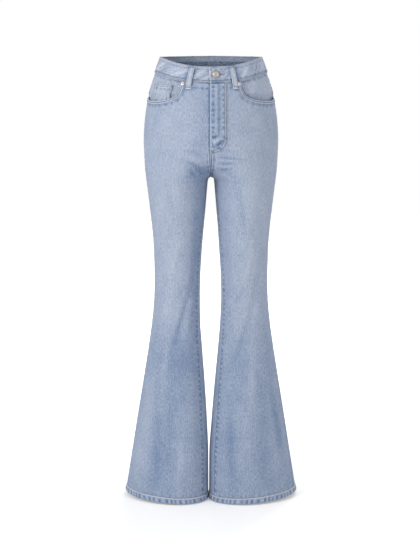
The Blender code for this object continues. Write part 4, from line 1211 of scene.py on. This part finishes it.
def cap(name, profile, x, z, out, turns, looks, dish, stands_for):
    """A profile of radius and height, in millimetres, swept round the way out of the front at (x, z). Its two ends
    on the axis are single points, and the second look, a darker one that paints the hollow's shade, fills the dish
    inside that radius."""
    spot, right, below = (front_points(np.array(px), np.array(pz), out) for px, pz in
                          ((x, z), (x + MM, z), (x, z - MM)))
    normal = np.cross(below - spot, right - spot)
    normal = normal / np.linalg.norm(normal) * (-1 if normal[1] > 0 else 1)
    side_way = np.cross(normal, (0, 0, 1))
    side_way = side_way / np.linalg.norm(side_way)
    up_way = np.cross(side_way, normal)
    radius, height = np.array(profile[1:-1]).T * MM
    turn = np.linspace(0, 2 * np.pi, turns + 1)[:-1]
    ring = np.cos(turn)[:, None] * side_way + np.sin(turn)[:, None] * up_way
    points = spot + radius[:, None, None] * ring + height[:, None, None] * normal
    ends = spot + np.array([profile[0][1], profile[-1][1]])[:, None] * MM * normal
    faces = [tuple(face) for face in grid_faces(len(radius), turns, closed=True)]
    first, last = points[..., 0].size, (len(radius) - 1) * turns
    faces += [(first, k, (k + 1) % turns) for k in range(turns)]
    faces += [(first + 1, last + (k + 1) % turns, last + k) for k in range(turns)]
    piece = add_piece(name, np.concatenate([points.reshape(-1, 3), ends]), faces, looks, stands_for)
    in_dish = np.concatenate([np.repeat(radius[1:] <= dish, turns), np.ones(turns, bool), np.zeros(turns, bool)])
    piece.data.polygons.foreach_set("material_index", in_dish.astype(np.int32))
    print(name, len(faces), "faces")
    return piece


def metal(name, colour, roughness):
    return material(name, {"Base Color": (*colour, 1), "Metallic": 1.0, "Roughness": roughness})[0]


# The second metal of each is a darker copy in the dish and the centre pit: painted shade of the hollow
BUTTON_LOOKS = metal("button metal", (0.62, 0.53, 0.47), 0.42), metal("button dish", (0.54, 0.48, 0.41), 0.5)
RIVET_LOOKS = metal("rivet metal", (0.76, 0.70, 0.66), 0.3), metal("rivet pit shade", (0.10, 0.08, 0.07), 0.5)
cap("button_cap", BUTTON_CAP, BUTTON_X, BUTTON_Z, BAND_OUT + 0.25 * MM, 64, BUTTON_LOOKS, 4.7 * MM,
    ("button",))
for word, x, z in RIVETS:
    cap(f"{word}_rivet_cap", RIVET_CAP, x, z, ON_PANEL + RELIEF * FELL_RISE, 32, RIVET_LOOKS, 1.4 * MM,
        (f"rivet_{word}",))

# %% [markdown]
# ## Thread
# Every seam is topstitched with thick thread, and each stitch shows as a short bead that dips into the cloth at both
# ends. The stitches follow lines beside the edges of the pieces. Where a seam takes strain, a bar tack of close
# stitches across it holds the end. The thread is pale after washing, and the tacks are tan.

# %% Laying stitches on a piece
STITCH_PITCH, STITCH_LENGTH, STITCH_RADIUS = 3.2 * MM, 2.8 * MM, 0.55 * MM
TACK_PITCH, TACK_RADIUS = 0.55 * MM, 0.36 * MM
PALE, GREY, TAN = 0.0, 0.5, 1.0
EDGES = {"left": (slice(None), 0, 3), "right": (slice(None), -1, -4), "top": (0, slice(None), 3),
         "bottom": (-1, slice(None), -4)}
# A stitch is a spindle: rings of points by their share of its half length and of its radius, and two tips
BEAD_ALONG, BEAD_ROUND, BEAD_SIDES = np.array([-0.62, 0.0, 0.62]), np.array([0.8, 1.0, 0.8]), 5
BEAD_POINTS = len(BEAD_ALONG) * BEAD_SIDES + 2
stitched = {}


def beside(name, edge, distance):
    """A line beside one edge of a piece's grid: each point of the edge moved in by the distance, at right angles to
    the edge within the cloth."""
    points = GRIDS[name][0]
    row, column, inner = EDGES[edge]
    line = points[row, column]
    toward = (points[:, inner] if edge in ("left", "right") else points[inner]) - line
    along = np.gradient(line, axis=0)
    along /= np.linalg.norm(along, axis=1, keepdims=True)
    inward = toward - (toward * along).sum(axis=1, keepdims=True) * along
    return line + distance * inward / np.linalg.norm(inward, axis=1, keepdims=True)


def evenly(line, pitch, start=0.0, end=0.0):
    """Points spaced evenly on a line, cut short by `start` and `end`, and the line's direction at each."""
    along = lengths(line, 0)
    wanted = np.arange(start + pitch / 2, along[-1] - end - pitch / 3, pitch)
    spots, ahead = (np.stack([np.interp(wanted + step, along, line[:, k]) for k in range(3)], axis=1)
                    for step in (0, 0.4 * pitch))
    return spots, ahead - spots


def beads(name, spots, directions, length, radius, tint):
    """Adds stitches to a piece. Each spot is first moved onto the plane of the nearest point of the piece's grid, so
    that the stitch lies on the relief."""
    points, normals = (grid.reshape(-1, 3) for grid in GRIDS[name])
    nearest = ((points**2).sum(1) - 2 * spots @ points.T).argmin(axis=1)
    up = normals[nearest]
    spots = spots - ((spots - points[nearest]) * up).sum(axis=1, keepdims=True) * up
    ahead = directions - (directions * up).sum(axis=1, keepdims=True) * up
    ahead /= np.linalg.norm(ahead, axis=1, keepdims=True)
    aside = np.cross(up, ahead)
    turn = np.radians(np.arange(BEAD_SIDES) * 360 / BEAD_SIDES + 90)
    rings = (BEAD_ALONG[:, None, None, None] * length / 2 * ahead[:, None]
             + BEAD_ROUND[:, None, None, None] * radius * (np.cos(turn)[:, None] * aside[:, None]
                                                           + np.sin(turn)[:, None] * up[:, None]))
    tips = np.array([-1, 1])[:, None, None] * length / 2 * ahead - 0.8 * radius * up
    made = np.concatenate([rings.transpose(1, 0, 2, 3).reshape(len(spots), -1, 3), tips.transpose(1, 0, 2)], axis=1)
    stitched.setdefault(name, []).append((made + (spots + 0.25 * radius * up)[:, None], tint))


def sew(name, line, start=0.0, end=0.0, tint=PALE):
    """A row of stitches along a line."""
    beads(name, *evenly(line, STITCH_PITCH, start, end), STITCH_LENGTH, STITCH_RADIUS, tint)


def stitch(name, edge, distances, start=0.0, end=0.0, tint=PALE, keep=slice(None)):
    """Rows of stitches beside an edge, or beside a part of it."""
    for distance in distances:
        sew(name, beside(name, edge, distance)[keep], start, end, tint)


def tack(name, centre, direction, length, width, tint=TAN):
    """A bar tack: close threads across a short line, `length` along the direction and `width` wide."""
    direction = np.array(direction, float) / np.linalg.norm(direction)
    steps = np.arange(-length / 2, length / 2, TACK_PITCH)
    spots = np.array(centre) + steps[:, None] * direction
    points, normals = (grid.reshape(-1, 3) for grid in GRIDS[name])
    up = normals[((points - centre) ** 2).sum(axis=1).argmin()]
    beads(name, spots, np.broadcast_to(np.cross(up, direction), spots.shape), width, TACK_RADIUS, tint)


def corner(name, row, column, down, across):
    """A point near a corner of a piece's grid, moved in down and across the cloth."""
    points = GRIDS[name][0]
    inner_row, inner_column = (4 if row == 0 else -5), (4 if column == 0 else -5)
    first = points[row, column]
    below, beside_it = points[inner_row, column] - first, points[row, inner_column] - first
    return first + down * below / np.linalg.norm(below) + across * beside_it / np.linalg.norm(beside_it)


# %% Rows of stitches
SIDE_ROW, MIDDLE_BACK_ROWS, FELL_ROWS, HEM_ROW = 1.9 * MM, (1.9 * MM, 7.2 * MM), (1.9 * MM, 8.2 * MM), 13.9 * MM
# The side seam's row ends high on the thigh, and the front middle's begins under the fly
SIDE_ROW_LEFT_OUT, MIDDLE_FROM_CROTCH = 850 * MM, 68 * MM
# Piece, edge, distances from it, what the row leaves free at its start and its end, in millimetres, and tint
ROWS = (
    ("waistband_strip", "top", (1.8,), 2, 36, 0.9),
    ("waistband_strip", "bottom", (2.2, 7.2), 2, 36, GREY),
    ("waistband_strip", "left", (1.8,), 2, 2, PALE),
    ("fly_lap", "right", (1.6, 7.0), 1, 1, 0.6),
    ("coin_pocket_patch", "top", (2.0, 8.4), 1, 1, 0.6),
    ("coin_pocket_patch", "left", (1.8,), 3, 1, GREY),
    ("coin_pocket_patch", "right", (1.8,), 3, 1, GREY),
)


def to_crotch(name):
    """Length down a panel's inner edge to the crotch, and from there to its end."""
    line = GRIDS[name][0][:, 0]
    along = lengths(line, 0)
    down = along[np.abs(line[:, 2] - CROTCH).argmin()]
    return down, along[-1] - down


def pocket_rows(name):
    """Rows round the sides and the point of a back pocket: each edge's line, cut where the next one crosses it."""
    for distance in FELL_ROWS:
        parts = []
        for edge, first, last in (("left", 0, distance), ("bottom", distance, distance), ("right", distance, 0)):
            line = beside(name, edge, distance)[::-1 if edge == "right" else 1]
            along = lengths(line, 0)
            parts.append(line[(along > first) & (along[-1] - along > last)])
        sew(name, np.concatenate(parts), 1 * MM, 1 * MM)


for word, side in SIDES.items():
    front, back, hem_name, pocket = (f"{word}_{end}" for end in ("front_panel", "back_panel", "hem", "back_pocket"))
    in_mouth = np.flatnonzero(FRONT_SPREAD * 90 > MOUTH_START)
    stitch(front, "top", MOUTH_ROWS, 2 * MM, 1 * MM, GREY, slice(in_mouth[0], None))
    stitch(back, "right", (SIDE_ROW,), 1 * MM, SIDE_ROW_LEFT_OUT)
    rise, leg = to_crotch(front)
    stitch(front, "left", MIDDLE_ROWS[side], rise - MIDDLE_FROM_CROTCH, leg + 1 * MM, GREY)
    if side == LEFT:
        stitch(back, "left", MIDDLE_BACK_ROWS, 1 * MM, to_crotch(back)[1] + 8 * MM)
        stitch("left_yoke", "left", MIDDLE_BACK_ROWS, 1 * MM, 1 * MM)
    stitch(f"{word}_yoke", "bottom", FELL_ROWS, 1 * MM, 1 * MM)
    hem_grid = GRIDS[hem_name][0]
    ring = hem_grid[np.abs(hem_grid[:, 0, 2] - hem_grid[-1, 0, 2] - HEM_ROW).argmin()]
    sew(hem_name, np.concatenate([ring, ring[:1]]))
    pocket_rows(pocket)
    stitch(pocket, "top", (13 * MM,), 9 * MM, 9 * MM)
    for column in (0, -1):
        tack(pocket, corner(pocket, 0, column, 5 * MM, 1.6 * MM), (0, 0, 1), 8 * MM, 2.2 * MM)
for name, edge, distances, start, end, tint in ROWS:
    stitch(name, edge, [distance * MM for distance in distances], start * MM, end * MM, tint)

# %% Bar tacks
# On the fly: sideways place, level, slope, length and width, in millimetres, and tint
FLY_TACKS = ((4, -197, 0.1, 9, 2.6, 1.0), (34, -174, -0.3, 8, 2.4, 0.9))
for column in (0, -1):
    tack("coin_pocket_patch", corner("coin_pocket_patch", 0, column, 4 * MM, 1.5 * MM), (0, 0, 1), 7 * MM, 2.4 * MM)
for name, _, _ in LOOPS:
    loop = f"{name}_belt_loop"
    grid = GRIDS[loop][0]
    for column in (5, -6):
        sew(loop, grid[:, column], 3 * MM, 3 * MM, 0.3)
    for row, down in ((0, -2.2 * MM), (-1, 4.6 * MM)):
        middle = grid[row, grid.shape[1] // 2] + (0, 0, down)
        tack(loop, middle, grid[row, -1] - grid[row, 0], 11 * MM, 2.4 * MM, 0.9)
for x, z, slope, length, width, tint in FLY_TACKS:
    spot = front_points(np.array(x * MM), np.array(z * MM), ON_PANEL + TRIM_CLOTH)
    tack("fly_lap", spot, (1, 0, slope), length * MM, width * MM, tint)

# %% Buttonhole: thread bound over both lips and round the eye
BINDING_TINT = 0.85
slit = np.linspace(BUTTON_X + BUTTONHOLE_EYE / 2, BUTTONHOLE_END - 1 * MM, 34)
for lip in (-1, 1):
    spots = front_points(slit, np.full(slit.shape, BUTTON_Z + lip * 1.3 * MM), BAND_OUT)
    beads("waistband_strip", spots, np.broadcast_to((0.0, 0.0, 1.0), spots.shape), 2.0 * MM, TACK_RADIUS, BINDING_TINT)
end_bar = BUTTON_Z + np.linspace(-2, 2, 8) * MM
spots = front_points(np.full(end_bar.shape, BUTTONHOLE_END), end_bar, BAND_OUT)
beads("waistband_strip", spots, np.broadcast_to((1.0, 0.0, 0.0), spots.shape), 2.2 * MM, TACK_RADIUS, BINDING_TINT)

# %% One thread object for each piece
THREAD_COLOURS = ((0.70, 0.68, 0.64, 1), (0.19, 0.18, 0.18, 1), (0.34, 0.22, 0.13, 1))
THREAD, thread_tree, thread_shader = material("thread", {"Roughness": 0.75, "Sheen Weight": 0.1})
tinted = node(thread_tree, "ValToRGB", {})
tinted.color_ramp.elements.new(GREY)
for element, colour in zip(tinted.color_ramp.elements, THREAD_COLOURS):
    element.color = colour
thread_tree.links.new(node(thread_tree, "Attribute", {}, attribute_name="tint").outputs["Fac"], tinted.inputs[0])
thread_tree.links.new(tinted.outputs["Color"], thread_shader.inputs["Base Color"])


def bead_faces(count):
    """The faces of `count` spindles: quads between the rings, and triangles to the tips."""
    k = np.arange(BEAD_SIDES)
    after = (k + 1) % BEAD_SIDES
    first, last = (np.full(BEAD_SIDES, BEAD_POINTS - back) for back in (2, 1))
    quads = np.concatenate([np.stack([k, after, after + BEAD_SIDES, k + BEAD_SIDES], axis=1) + ring * BEAD_SIDES
                            for ring in (0, 1)])
    tips = np.concatenate([np.stack([after, k, first], axis=1),
                           np.stack([k + 2 * BEAD_SIDES, after + 2 * BEAD_SIDES, last], axis=1)])
    starts = BEAD_POINTS * np.arange(count)[:, None, None]
    return [*(quads + starts).reshape(-1, 4).tolist(), *(tips + starts).reshape(-1, 3).tolist()]


total = 0
for name, groups in stitched.items():
    made = np.concatenate([beads_made for beads_made, _ in groups])
    tints = np.concatenate([np.full(len(beads_made) * BEAD_POINTS, tint) for beads_made, tint in groups])
    thread_piece = add_piece(f"{name}_thread", made, bead_faces(len(made)), (THREAD,))
    thread_piece.data.attributes.new("tint", "FLOAT", "POINT").data.foreach_set("value", tints.astype(np.float32))
    total += len(made)
print(total, "stitches in", len(stitched), "objects")

# %% [markdown]
# ## What each piece was cut to
# The whole garment is one body, held up by the waist of its wearer. Each piece of cloth is listed with the size it
# was cut to, as far as it shows: the width and length of the flat piece, and its area where it isn't a rectangle.

# %% Sheets: piece, width, length, area, how it is held, and what it hangs from or lies on
SHEETS = [
    ("waistband_strip", 0.817, 0.042, 0.0334, "stretched", ()),
    ("fly_lap", 0.040, 0.193, 0.0070, "laid", ("left_front_panel",)),
    ("coin_pocket_patch", 0.058, 0.052, 0.0028, "laid", ("right_pocket_facing",)),
]
for word, front_width, front_area, back_width, back_area, hem_width in (
        ("right", 0.305, 0.212, 0.351, 0.263, 0.634), ("left", 0.300, 0.210, 0.382, 0.272, 0.655)):
    SHEETS += [
        (f"{word}_front_panel", front_width, 1.10, front_area, "hung", ("waistband_strip",)),
        (f"{word}_yoke", 0.212, 0.074, 0.0119, "hung", ("waistband_strip",)),
        (f"{word}_back_panel", back_width, 1.05, back_area, "hung", (f"{word}_yoke",)),
        (f"{word}_pocket_facing", 0.141, 0.090, 0.0107, "hung", ("waistband_strip",)),
        (f"{word}_back_pocket", 0.136, 0.148, 0.0173, "laid", (f"{word}_back_panel",)),
        (f"{word}_hem", hem_width, 0.0165, 0.0101, "folded", (f"{word}_front_panel", f"{word}_back_panel")),
    ]
SHEETS += [(f"{name}_belt_loop", 0.0135, 0.057, None, "laid", ("waistband_strip",)) for name, _, _ in LOOPS]
print(len(SHEETS), "sheets, cut from", round(sum(row[3] or row[1] * row[2] for row in SHEETS), 3), "m2 of cloth")
